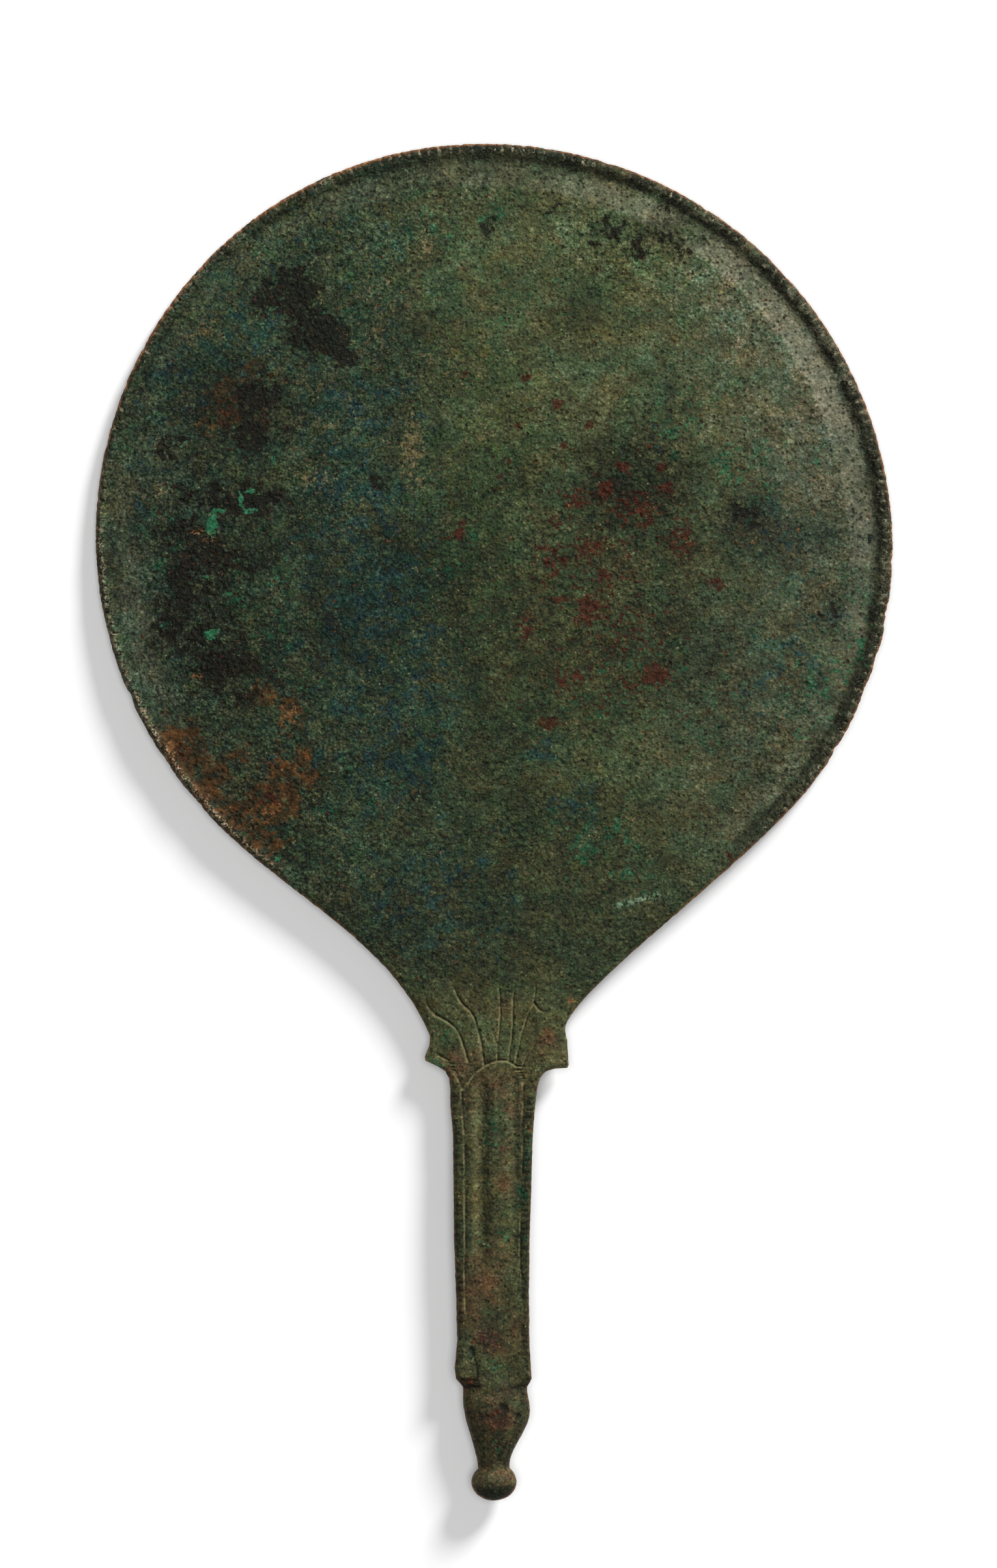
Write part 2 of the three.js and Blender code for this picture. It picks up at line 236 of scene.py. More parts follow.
STEP = 0.30
round_part = even(disc_point(np.linspace(DISC_FROM, DISC_TO, 3000)), STEP)
left_p, left_s = side_line("left", STEP)
right_p, right_s = side_line("right", STEP)
OUT = np.concatenate([round_part, left_p, right_p[:-1][::-1]])
SPINE = np.concatenate([np.tile([DISC_X, DISC_Y], (len(round_part), 1)), left_s, right_s[:-1][::-1]])
N = len(OUT)

# unit inward direction, distance to the spine, and how squarely a column crosses the outline
WAY = SPINE - OUT
FULL = np.hypot(*WAY.T)
WAY = WAY / FULL[:, None]
run = np.roll(OUT, -1, 0) - np.roll(OUT, 1, 0)
run = run / np.hypot(*run.T)[:, None]
SQUARE = np.maximum(0.35, np.abs(run[:, 0] * WAY[:, 1] - run[:, 1] * WAY[:, 0]))
ARC = np.r_[0, np.cumsum(np.hypot(*np.diff(OUT, axis=0).T))]


# --------------------------------------------------------------------------
# the notches of the lip, and the worn, ragged edge
# --------------------------------------------------------------------------
NOTCH_PITCH = 1.92


def notch(theta, y):
    """0 to 1: how far inside a notch, by the angle round the disc."""
    s = theta * DISC_R
    p = s / NOTCH_PITCH + 0.30 * wave(s, s * 0 + 3.3, 9, 5) + 0.12 * wave(s, s * 0 + 7.7, 2.4, 6)
    c = np.cos(2 * math.pi * p)
    worn = clip01(0.75 + 0.75 * wave(s, s * 0 + 1.1, 6.5, 7))
    return ease(c, 0.30, 0.95) * worn * ease(y, -12, 4)


def polar(x, y):
    return np.arctan2(y - DISC_Y, x - DISC_X), np.hypot(x - DISC_X, y - DISC_Y)


EDGE_CHIPS = [      # angle round the disc in degrees, half-length and depth in mm
    (-10.5, 2.0, 0.55), (-17.0, 1.3, 0.45), (-22.0, 2.6, 0.40), (-31.0, 1.2, 0.35), (-3.0, 1.1, 0.30),
    (42.0, 1.2, 0.22), (57.0, 0.9, 0.26), (73.0, 1.1, 0.20), (151.0, 1.0, 0.18),
    (203.0, 1.5, 0.35), (214.0, 1.2, 0.40), (221.5, 1.6, 0.35)]


def ragged(points, spine_way):
    th, _ = polar(*points.T)
    x, y = points.T
    amount = 0.08 * layers(x, y, 3.4, 11, 3) + 0.07 * wave(x, y, 0.9, 12)
    amount = amount + 0.04 * wave(x, y, 1.7, 13) * ease(y, -20, 0)
    amount = amount - 0.07 * notch(th, y)
    for deg, half, depth in EDGE_CHIPS:
        s = (np.angle(np.exp(1j * (th - math.radians(deg))))) * DISC_R
        amount = amount - depth * np.exp(-(s / half) ** 2) * (0.7 + 0.5 * wave(x, y, 1.1, 14)) * ease(y, -12, -2)
    amount = amount * mix(0.55, 1.0, ease(y, -46, -20))
    return points - spine_way * amount[:, None]


# --------------------------------------------------------------------------
# heights
# --------------------------------------------------------------------------
def lengths(y):
    """Half-width of the part below the disc, for the section shapes."""
    y = np.asarray(y, float)
    w = (handle_half(y, True) + handle_half(y, False)) / 2
    wb = (body_half(y, True) + body_half(y, False)) / 2
    return np.where(y < HANDLE_FOOT, wb, w)


def across(x, y):
    """0 on the axis of the handle or terminal, 1 at its edge."""
    y = np.asarray(y, float)
    wl = np.where(y < HANDLE_FOOT, body_half(np.minimum(y, BODY_TOP), False), handle_half(y, False))
    wr = np.where(y < HANDLE_FOOT, body_half(np.minimum(y, BODY_TOP), True), handle_half(y, True))
    c, h = (wr - wl) / 2, (wr + wl) / 2
    u = np.abs(x - c) / h
    hw = (KNOB_RIGHT + KNOB_LEFT) / 2
    end = np.hypot((x - KNOB_X) / hw, (y - KNOB_Y) / KNOB_LENGTH)
    return np.clip(np.where(y < KNOB_Y, end, u), 0, 1)


def bell(t):
    return np.sin(math.pi * clip01(t))


def lift(y):
    return LOW_LIFT * (1 - ease(y, 16, 64))


def swell(x, at, half, high):
    return high * np.exp(-((x - at) / half) ** 2)


def face(x, y, e):
    r = np.hypot(x - DISC_X, y - DISC_Y)
    dome = CREST_Z + (DOME_Z - CREST_Z) * (1 - np.minimum(1, (r / CREST_R) ** 2))
    lip = np.interp(e, LIP[:, 0], LIP[:, 1])
    disc = np.where((e < 7.9) & (r > CREST_R - 6), mix(lip, np.maximum(dome, CREST_Z), ease(e, 7.0, 7.9)), dome) + lift(y)
    neck_mid = mix(NECK_START_Z, NECK_Z, ease(y, -5, -40))
    neck = neck_mid - 0.55 * (1 - ease(e, 0, 4)) - ARRIS * (1 - ease(e, 0, 0.6))
    z = mix(disc, neck, ease(y, 4, -22))
    w = lengths(y)
    u = across(x, y)
    rise = mix(NECK_Z, HANDLE_Z, ease(y, -42, -72))
    t = clip01((e - BORDER) / np.maximum(0.1, w - BORDER))
    run_ = ease(y, -45.5, -49) * (1 - ease(y, *FLUTE_FADE))
    border = 0.18 * bell(e / BORDER) - ARRIS * (1 - ease(e, 0, 0.5))
    crown = 0.25 * ease(y, *CROWN_START) * (1 - u * u)
    hollow = PANEL_DEPTH * bell(t) + swell(x, *FLUTES[0]) + swell(x, *FLUTES[1]) - swell(x, *FLUTE_ROLL)
    handle = rise + border + crown - run_ * hollow
    z = mix(z, handle, ease(y, -41, -47))
    round_ = TERMINAL_MID + np.maximum(0.12, body_thick(np.maximum(y, KNOB_Y)) * np.sqrt(np.clip(1 - u ** 2.15, 0, None)))
    return mix(z, round_, ease(y, HANDLE_FOOT + 0.4, BODY_TOP + 0.2))


def back(x, y, e):
    r = np.hypot(x - DISC_X, y - DISC_Y)
    dome = CREST_Z + (DOME_Z - CREST_Z) * (1 - np.minimum(1, (r / CREST_R) ** 2))
    inner = dome + lift(y) - PLATE - 0.35 * ease(r, 50, 71)
    ring = np.where(e < RING_OUT, EDGE_LOW * (1 - e / RING_OUT), 0)
    disc = np.where(e < RING_IN, ring, mix(0, inner, ease(e, RING_IN, RING_IN + RING_BLEND)))
    neck_mid = mix(NECK_START_Z, NECK_Z, ease(y, -5, -40)) - NECK_THICK
    neck = neck_mid + ARRIS * (1 - ease(e, 0, 0.6))
    z = mix(disc, neck, ease(y, 4, -22))
    u = across(x, y)
    rise = mix(NECK_Z - NECK_THICK, HANDLE_Z - HANDLE_THICK, ease(y, -42, -72))
    handle = rise + 0.45 * (1 - ease(e, 0, 1.2))
    z = mix(z, handle, ease(y, -41, -47))
    round_ = TERMINAL_MID - np.maximum(0.12, body_thick(np.maximum(y, KNOB_Y)) * np.sqrt(np.clip(1 - u ** 2.15, 0, None)))
    return mix(z, round_, ease(y, HANDLE_FOOT + 0.4, BODY_TOP + 0.2))


# --------------------------------------------------------------------------
# relief on the face
# --------------------------------------------------------------------------
# incised lines, each: half-width, depth, points
INCISED = {
    "leaf_far_left": (0.24, 0.32, [(-13.2, -30.4), (-12.38, -34.0), (-10.93, -35.7), (-8.66, -36.95), (-7.21, -38.09), (-6.38, -39.42), (-5.56, -41.9), (-4.52, -45.22), (-4.21, -46.44)]),
    "leaf_left": (0.24, 0.32, [(-8.6, -28.2), (-6.8, -32.4), (-5.77, -33.84), (-4.52, -35.09), (-3.7, -36.32), (-3.08, -38.39), (-2.46, -41.08), (-2.05, -43.76), (-1.84, -45.11)]),
    "leaf_mid": (0.22, 0.30, [(0.55, -27.0), (0.98, -32.6), (1.06, -35.92), (0.84, -39.0), (0.54, -41.5), (0.54, -43.97)]),
    "leaf_mid_branch": (0.18, 0.21, [(-0.12, -39.0), (0.48, -41.04)]),
    "leaf_mid_right": (0.22, 0.30, [(4.0, -27.6), (3.43, -32.81), (3.32, -36.95), (3.12, -40.25), (2.7, -43.14), (2.54, -44.18)]),
    "leaf_right": (0.24, 0.32, [(7.36, -33.54), (6.22, -35.29), (5.39, -37.78), (4.67, -40.67), (4.15, -42.73), (3.84, -44.39)]),
    "leaf_right_tip": (0.19, 0.25, [(9.94, -35.09), (8.9, -35.09), (8.08, -34.67), (7.36, -33.54), (7.6, -30.2)]),
    "leaf_far_right": (0.24, 0.24, [(10.14, -36.95), (8.9, -38.39), (7.87, -40.25), (7.15, -41.5), (6.01, -43.14), (5.18, -45.0), (5.18, -45.62)]),
    "leaf_faint_right": (0.18, 0.17, [(6.84, -36.96), (6.0, -38.16)]),
    "leaf_faint_left": (0.18, 0.17, [(-9.24, -33.6), (-7.8, -33.84), (-5.52, -35.64)]),
    "wing_upright": (0.24, 0.13, [(11.28, -36.48), (11.28, -43.32)]),
    "wing_bar": (0.22, 0.12, [(10.2, -43.3), (13.0, -43.5)]),
    "arch": (0.24, 0.40, [(-5.81, -49.44), (-5.44, -48.84), (-4.58, -47.98), (-3.72, -46.63), (-1.84, -45.22), (-0.6, -44.59), (0.64, -44.18), (2.29, -44.18), (3.74, -45.0), (4.67, -46.25), (5.29, -47.69), (5.39, -49.34), (5.18, -52.66)]),
    "border_right": (0.22, 0.28, [(5.18, -52.66), (5.14, -59.88), (4.8, -69.72), (4.68, -79.56), (4.92, -84.48)]),
    "border_right_foot": (0.22, 0.13, [(4.92, -84.48), (5.4, -89.4), (5.3, -96.0)]),
    "border_left": (0.22, 0.30, [(-10.32, -43.14), (-8.46, -44.18), (-7.21, -46.25), (-6.38, -48.11), (-5.98, -50.17), (-5.88, -52.66), (-5.46, -59.88), (-5.46, -79.56), (-5.4, -90.72)]),
    "border_left_foot": (0.22, 0.13, [(-5.4, -90.72), (-5.5, -97.0)]),
    "terminal_cut_left": (0.28, 0.13, [(-6.0, -108.5), (-4.2, -108.9), (-2.6, -107.9), (-0.6, -107.4)]),
    "terminal_cut_right": (0.28, 0.15, [(0.6, -107.4), (1.8, -107.9), (3.2, -108.8), (4.8, -109.6), (6.2, -110.2)]),
    "crack": (0.16, 0.38, [(-4.13, -97.4), (-3.36, -99.84), (-3.05, -101.76), (-3.5, -103.43), (-3.88, -105.07)]),
    "foot_ledge": (0.24, 0.38, [(-5.9, -102.9), (-3.9, -102.84)]),
}


def line_gap(x, y, pts):
    """Distance from each point to a polyline."""
    pts = np.asarray(pts, float)
    best = np.full(len(x), 1e9)
    for (ax, ay), (bx, by) in zip(pts[:-1], pts[1:]):
        dx, dy = bx - ax, by - ay
        t = clip01(((x - ax) * dx + (y - ay) * dy) / (dx * dx + dy * dy))
        best = np.minimum(best, np.hypot(x - ax - t * dx, y - ay - t * dy))
    return best


def grooves(x, y):
    cut = np.zeros(len(x))
    near = (y < -24) & (y > -111.5)
    xs, ys = x[near], y[near]
    wob = 0.10 * wave(xs, ys, 2.2, 31)
    c = np.zeros(len(xs))
    for half, depth, pts in INCISED.values():
        d = line_gap(xs + wob, ys, pts)
        fade = ease(ys, -27.5, -33.5) if pts[0][1] > -31 and len(pts) > 3 else 1.0
        worn = 1.16 * clip01(0.86 + 0.42 * wave(xs, ys, 2.6, 32))
        c = np.maximum(c, depth * fade * worn * np.exp(-(d / half) ** 2))
    cut[near] = c
    return cut


PITTED = [       # rough, corroded stretches: x, y, half-width, half-height, amount
    (29.0, 108.0, 15.0, 8.5, 1.0), (48.0, 97.0, 9.0, 9.0, 0.8), (61.0, 77.0, 6.0, 12.0, 0.6),
    (5.0, 118.0, 22.0, 4.5, 0.7), (-30.0, 108.0, 16.0, 6.0, 0.45), (66.0, 50.0, 5.0, 16.0, 0.5),
    (-52.0, 33.0, 10.0, 22.0, 0.45), (-40.0, 6.0, 9.0, 10.0, 0.6), (20.0, 60.0, 20.0, 16.0, 0.35),
    (55.0, 15.0, 9.0, 12.0, 0.45), (-62.0, 60.0, 6.0, 16.0, 0.35)]
PITS = [(51.0, 16.6, 0.7, 0.30), (1.7, -107.9, 0.6, 0.35), (4.3, -109.3, 0.5, 0.3), (-4.13, -97.4, 0.55, 0.45)]


def zone(x, y, rows, soft=0.55, warp=1.4, seed=41):
    xw = x + warp * wave(x, y, 5.5, seed) + 0.4 * warp * wave(x, y, 2.0, seed + 1)
    yw = y + warp * wave(x, y, 5.5, seed + 2) + 0.4 * warp * wave(x, y, 2.0, seed + 3)
    out = np.zeros(len(x))
    for row in rows:
        cx, cy, rx, ry = row[:4]
        amount = row[4] if len(row) > 4 else 1.0
        d = np.hypot((xw - cx) / rx, (yw - cy) / ry)
        out = np.maximum(out, amount * (1 - ease(d, 1 - soft, 1 + soft)))
    return out


def side_of_disc(theta, deg, half):
    """1 in the direction given in degrees, fading to 0 at half degrees either way."""
    off = np.abs(np.angle(np.exp(1j * (theta - math.radians(deg)))))
    return 1 - ease(off, math.radians(half * 0.35), math.radians(half))


def relief(x, y, e):
    th, r = polar(x, y)
    on_disc = ease(y, -30, -16)
    rough = zone(x, y, PITTED, 0.7, 2.0, 51)
    z = on_disc * 0.07 * layers(x, y, 16, 21, 2)
    lumps = layers(x, y, 3.4, 24, 3)
    z = z + (0.030 + 0.15 * rough) * lumps * mix(0.6, 1.0, on_disc)
    fine = layers(x, y, 1.3, 27, 2)
    z = z + (0.024 + 0.085 * rough) * fine
    # sparse round pits and grains of crust
    cells = wave(x, y, 1.9, 61)
    z = z - (0.05 + 0.24 * rough) * ease(cells, 0.50, 0.92)
    cells = wave(x, y, 1.5, 63)
    z = z + (0.04 + 0.10 * rough) * ease(cells, 0.55, 0.95)
    # lip: notches and an uneven crest
    rim = 1 - ease(e, 2.2, 3.2)
    fall = ease(y, -12, 4)
    z = z - rim * fall * 0.42 * notch(th, y) * ease(e, -0.05, 0.3) * (1 - ease(e, 1.15, 1.7))
    s = th * DISC_R
    low_left = side_of_disc(th, 205, 42)
    z = z + fall * low_left * (0.26 + 0.16 * wave(s, e * 0, 2.6, 75)) * np.exp(-((e - 1.0 - 0.15 * wave(s, e * 0, 4, 76)) / 0.28) ** 2)
    z = z + rim * fall * 0.10 * layers(s, e * 0.6, 5.0, 71, 3) * ease(e, 0.2, 0.9)
    z = z - fall * 0.10 * np.exp(-((e - 2.55 - 0.25 * wave(s, e * 0, 7, 73)) / 0.45) ** 2) * clip01(0.7 + wave(s, e * 0, 11, 74))
    # handle: fine transverse nicks on the border strips, worn away in places
    strip = (e < 1.75) & (y < -49) & (y > -101)
    nick = np.cos(2 * math.pi * (y / 1.15 + 0.55 * wave(x * 0.3, y, 3.2, 81) + 0.4 * (x > 0)))
    keep = clip01(0.60 + 0.9 * wave(x * 0 + np.sign(x) * 9, y, 6, 82) + 0.30 * ((x > 0) & (y > -86)))
    z = z - np.where(strip, 0.17 * ease(nick, 0.1, 0.95) * keep * bell(e / 1.9 + 0.05), 0)
    # central ridge between the flutes
    ridge_x = 0.19 - 0.1 * ease(y, -50, -80)
    z = z + 0.14 * np.exp(-((x - ridge_x) / 0.28) ** 2) * ease(y, -47.0, -49.0) * (1 - ease(y, -52, -62))
    # terminal: shoulder facet on the right, collar line at its start, soft band above the knob
    z = z - 0.25 * np.exp(-((y + 104.2) / 0.45) ** 2) * ease(y, -102, -103.4) * ease(np.abs(x - 0.5), 2.6, 3.8)
    z = z + 0.22 * np.exp(-((x - 3.1 - (y + 110) * 0.22) / 0.7) ** 2) * ease(y, -105.5, -107.5) * (1 - ease(y, -112, -116))
    z = z - grooves(x, y)
    for px, py, half, depth in PITS:
        z = z - depth * np.exp(-(np.hypot(x - px, y - py) / half) ** 2)
    return z


# --------------------------------------------------------------------------
# one closed mesh: rings along the edge, an even field inside
# --------------------------------------------------------------------------
EDGE = ragged(OUT, WAY)
INSET = np.array([0.0, 0.2, 0.45, 0.8, 1.15, 1.5, 1.85, 2.25, 2.7, 3.2])
LOW_INSET = np.array([0.0, 0.25, 0.55, 1.4, 2.55, 3.65])


def rows(inset, most):
    room = np.minimum(1.0, most * FULL / inset[-1] * SQUARE)
    return [(EDGE + WAY * (e * room / SQUARE)[:, None], e * room) for e in inset]



# distance in from the plain outline, for any place
dense = even(np.vstack([EDGE, EDGE[:1]]), 0.12)
tree = KDTree(len(dense))
for i, (px, py) in enumerate(dense):
    tree.insert((px, py, 0), i)
tree.balance()


def measured(row_list):
    """The rows again, with the distance that each point really has from the edge."""
    return [row_list[0]] + [(p, np.array([tree.find((a, b, 0))[2] for a, b in p])) for p, _ in row_list[1:]]


top_rows, low_rows = measured(rows(INSET, 0.72)), measured(rows(LOW_INSET, 0.72))


def inside(px, py, loop):
    """Which points lie inside a closed loop, by crossings, worked in strips."""
    hit = np.zeros(len(px), bool)
    ax, ay = loop.T
    bx, by = np.roll(loop, -1, 0).T
    order = np.argsort(py)
    for part in np.array_split(order, max(1, len(px) // 1500)):
        y0, y1 = py[part].min(), py[part].max()
        use = (np.minimum(ay, by) <= y1) & (np.maximum(ay, by) >= y0)
        a, b, c, d = ax[use], ay[use], bx[use], by[use]
        Y = py[part][:, None]
        cross = (b > Y) != (d > Y)
        at = a + (Y - b) * (c - a) / np.where(d == b, 1e-12, d - b)
        hit[part] = (np.sum(cross & (px[part][:, None] < at), 1) % 2) == 1
    return hit


def lattice(x0, x1, y0, y1, size):
    h = size * math.sqrt(3) / 2
    ys = np.arange(y0, y1, h)
    out = []
    for k, yy in enumerate(ys):
        xs = np.arange(x0 + (size / 2 if k % 2 else 0), x1, size)
        out.append(np.stack([xs, np.full(len(xs), yy)], -1))
    return np.concatenate(out)


def field(loop, bands, seed):
    """Even points inside a loop. bands: lowest y, highest y, spacing."""
    out = []
    lo, hi = loop.min(0), loop.max(0)
    rng = np.random.default_rng(seed)
    for y0, y1, size in bands:
        y0, y1 = max(y0, lo[1]), min(y1, hi[1])
        p = lattice(lo[0], hi[0], y0, y1, size)
        p = p + rng.uniform(-0.10, 0.10, p.shape) * size
        p = p[inside(p[:, 0], p[:, 1], loop)]
        gap = np.array([tree.find((a, b, 0))[2] for a, b in p])
        out.append((p, gap, np.full(len(p), size)))
    p, gap, size = (np.concatenate(v) for v in zip(*out))
    loop_tree = KDTree(len(loop))
    for i, (a, b) in enumerate(loop):
        loop_tree.insert((a, b, 0), i)
    loop_tree.balance()
    far = np.array([loop_tree.find((a, b, 0))[2] for a, b in p])
    keep = far > size * 0.5
    return p[keep], gap[keep]


def fill(loop, bands, seed):
    p, gap = field(loop, bands, seed)
    pts = np.concatenate([loop, p])
    n = len(loop)
    edges = [(i, (i + 1) % n) for i in range(n)]
    verts, _, faces, origin, _, _ = delaunay_2d_cdt([Vector(q) for q in pts], edges, [], 1, 1e-7, True)
    assert len(verts) == len(pts)
    swap = np.array([o[0] for o in origin])
    tri = []
    for f in faces:
        for k in range(1, len(f) - 1):
            tri.append((swap[f[0]], swap[f[k]], swap[f[k + 1]]))
    tri = np.array(tri)
    mid = pts[tri].mean(1)
    tri = tri[inside(mid[:, 0], mid[:, 1], loop)]
    a, b, c = pts[tri[:, 0]], pts[tri[:, 1]], pts[tri[:, 2]]
    turn = (b[:, 0] - a[:, 0]) * (c[:, 1] - a[:, 1]) - (b[:, 1] - a[:, 1]) * (c[:, 0] - a[:, 0])
    tri[turn < 0] = tri[turn < 0][:, ::-1]
    return p, gap, tri


top_p, top_gap, top_tri = fill(top_rows[-1][0], [(-130, -57.2, 0.30), (-57.0, -27.6, 0.26), (-27.3, -14, 0.55), (-13.6, 130, 0.75)], 3)
low_p, low_gap, low_tri = fill(low_rows[-1][0], [(-130, -101, 0.6), (-100.5, -38, 1.1), (-37, 130, 1.9)], 4)

pos, kind = [], []          # kind: 0 face, 1 edge wall, 2 back


def add(p, e, z, k):
    start = sum(len(q) for q in pos)
    pos.append(np.column_stack([p, z, e]))
    kind.append(np.full(len(p), k))
    return start + np.arange(len(p))


def face_z(p, e):
    x, y = p.T
    z = face(x, y, e)
    return z + relief(x, y, e)


def back_z(p, e):
    x, y = p.T
    z = back(x, y, e)
    free = np.where(y > -8, ease(e, 2.8, 4.2), ease(e, 0.3, 2.0))
    soft = 0.05 * layers(x, y, 14, 91, 2) + 0.05 * layers(x, y, 4, 93, 3)
    pits = -0.12 * ease(wave(x, y, 2.6, 95), 0.55, 0.95)
    lift = ease(y, 4, -14)
    return z + free * (soft - pits) + lift * (1 - free) * 0.02 * wave(x, y, 2, 97)


top_ids = [add(p, e, face_z(p, e), 0) for p, e in top_rows]
low_ids = [add(p, e, back_z(p, e), 2) for p, e in low_rows]
top_in = add(top_p, top_gap, face_z(top_p, top_gap), 0)
low_in = add(low_p, low_gap, back_z(low_p, low_gap), 2)

P = np.concatenate(pos)
# two rows on the edge wall, very slightly bowed
zt, zl = P[top_ids[0], 2], P[low_ids[0], 2]
x, y = EDGE.T
bow = 0.06 * np.clip(zt - zl, 0, 1)
wall_ids = []
for share in (0.36, 0.72):
    out = bow * 4 * share * (1 - share) + 0.05 * layers(x + 50 * share, y, 1.6, 101, 2)
    wall_ids.append(add(EDGE - WAY * out[:, None], np.zeros(N), mix(zl, zt, share), 1))
P = np.concatenate(pos)
KIND = np.concatenate(kind)

tris = []


def strip(A, B):
    """Faces between two closed loops of columns; A is outer or lower, B inner or upper."""
    a, b = A, B
    a2, b2 = np.roll(a, -1), np.roll(b, -1)
    tris.append(np.column_stack([a, a2, b2]))
    tris.append(np.column_stack([a, b2, b]))


for k in range(len(top_ids) - 1):
    strip(top_ids[k], top_ids[k + 1])
for k in range(len(low_ids) - 1):
    strip(low_ids[k + 1], low_ids[k])
strip(low_ids[0], wall_ids[0])
strip(wall_ids[0], wall_ids[1])
strip(wall_ids[1], top_ids[0])
tris.append(np.concatenate([top_ids[-1], top_in])[top_tri])
tris.append(np.concatenate([low_ids[-1], low_in])[low_tri][:, ::-1])
T = np.concatenate(tris)
print("mirror mesh: vertices", len(P), "triangles", len(T))
P[:, 2] = np.maximum(P[:, 2], 0.0)

X, Y, Z, E = P[:, 0].copy(), P[:, 1].copy(), P[:, 2].copy(), P[:, 3].copy()
me = bpy.data.meshes.new("mirror_body")
me.vertices.add(len(P))
me.vertices.foreach_set("co", (np.column_stack([X + SHIFT_X, Y + SHIFT_Y, Z]) * MM).ravel().astype(np.float32))
me.loops.add(len(T) * 3)
me.loops.foreach_set("vertex_index", T.ravel().astype(np.int32))
me.polygons.add(len(T))
me.polygons.foreach_set("loop_start", (np.arange(len(T)) * 3).astype(np.int32))
me.polygons.foreach_set("loop_total", np.full(len(T), 3, np.int32))
me.update(calc_edges=True)
me.polygons.foreach_set("use_smooth", np.ones(len(T), bool))
assert not me.validate(verbose=False), "the mesh needed mending"

# UV map for the bake: the face large on the left, the edge wall as a thin ring round it, the back smaller on the right
front = 0.00388
U = (X - (-73.6)) * front + 3.0 * front
V = (Y - (-125.3)) * front + 3.0 * front
uv_v = np.column_stack([U, V])
for ids, d in ((wall_ids[1], 0.7), (wall_ids[0], 1.4)):
    uv_v[ids] = np.column_stack([(EDGE[:, 0] - WAY[:, 0] * d + 73.6 + 3.0) * front, (EDGE[:, 1] - WAY[:, 1] * d + 125.3 + 3.0) * front])
rear = 0.00258
back_uv = np.column_stack([0.985 - (X + 73.6) * rear, (Y + 125.3) * rear + 0.02])
loop_v = T.ravel()
uv = uv_v[loop_v].copy()
tri_kind = KIND[T]
is_back = (tri_kind == 2).all(1)
rep = np.repeat(is_back, 3)
uv[rep] = back_uv[loop_v[rep]]
# the lowest strip of the wall joins the back's outer loop: push that loop further out on the face's side
low_outer = np.full(len(P), -1)
low_outer[low_ids[0]] = np.arange(N)
joint = np.repeat((tri_kind == 2).any(1) & ~is_back, 3)
sel = joint & (low_outer[loop_v] >= 0)
c = low_outer[loop_v[sel]]
uv[sel] = np.column_stack([(EDGE[c, 0] - WAY[c, 0] * 2.1 + 73.6 + 3.0) * front, (EDGE[c, 1] - WAY[c, 1] * 2.1 + 125.3 + 3.0) * front])
layer = me.uv_layers.new(name="OFBake")
layer.data.foreach_set("uv", uv.ravel().astype(np.float32))

# --------------------------------------------------------------------------
# where each kind of patina lies, from named patches: x, y, half-width, half-height, amount
# --------------------------------------------------------------------------
FACE = (KIND == 0) | ((KIND == 1))
BACK = KIND == 2

BLACK = [(-36.9, 96.4, 5.6, 5.2, 1.05), (-33.6, 92.4, 5.0, 4.2, 0.95), (-31.4, 88.0, 5.4, 4.2, 1.08), (-27.6, 84.6, 2.8, 2.4, 1.0),
         (20.5, 108.4, 4.4, 2.8, 0.54), (27.5, 105.8, 3.8, 2.6, 0.50), (31.5, 110.4, 3.0, 3.0, 0.48),
         (11.0, 111.4, 3.6, 1.7, 0.52), (35.0, 105.0, 2.4, 2.2, 0.52), (0.8, 109.2, 2.6, 2.4, 0.46), (47.8, 56.4, 3.0, 2.6, 0.50), (68.4, 51.8, 1.2, 1.4, 0.60), (-50.0, 58.5, 10.5, 3.8, 0.68), (-56.0, 52.0, 6.8, 6.6, 0.72),
         (-54.5, 45.0, 7.2, 7.6, 0.78), (-56.0, 36.0, 5.8, 7.6, 0.74), (-51.0, 29.5, 5.8, 5.8, 0.76),
         (-46.0, 26.0, 4.8, 4.4, 0.62), (-43.5, 75.5, 7.0, 7.5, 0.56), (-47.0, 47.0, 4.0, 6.0, 0.50), (-59.3, 68.0, 3.6, 2.6, 0.45), (-21.5, 62.0, 2.4, 2.2, 0.55),
         (-44.0, 70.5, 4.2, 4.6, 0.45), (-40.5, 58.5, 5.0, 2.6, 0.40), (62.3, 37.9, 1.8, 1.8, 0.45)]
BROWN = [(-48.4, 76.4, 6.4, 5.6, 0.78), (-44.0, 80.0, 6.0, 5.0, 0.62), (-52.3, 50.0, 7.0, 8.0, 0.50),
         (-37.7, 20.2, 3.4, 4.0, 1.10), (-42.3, 23.8, 3.8, 2.0, 0.90), (-46.5, 11.5, 3.0, 3.0, 0.70),
         (-37.0, 9.5, 5.4, 4.4, 0.90), (-40.5, 3.6, 5.6, 5.2, 1.00), (-43.0, -3.0, 5.4, 4.2, 0.92),
         (-58.0, 12.7, 4.8, 5.8, 1.10), (-53.4, 6.6, 5.0, 4.6, 1.05), (-48.6, 1.0, 4.6, 4.4, 0.95),
         (-61.5, 19.0, 2.0, 3.0, 0.70), (26.4, 57.0, 7.0, 5.4, 0.42), (34.0, 52.0, 5.0, 5.0, 0.32),
         (6.0, 35.5, 3.0, 4.6, 0.50), (-47.6, 44.4, 0.9, 1.6, 0.60), (0.5, 58.0, 3.0, 6.0, 0.25)]
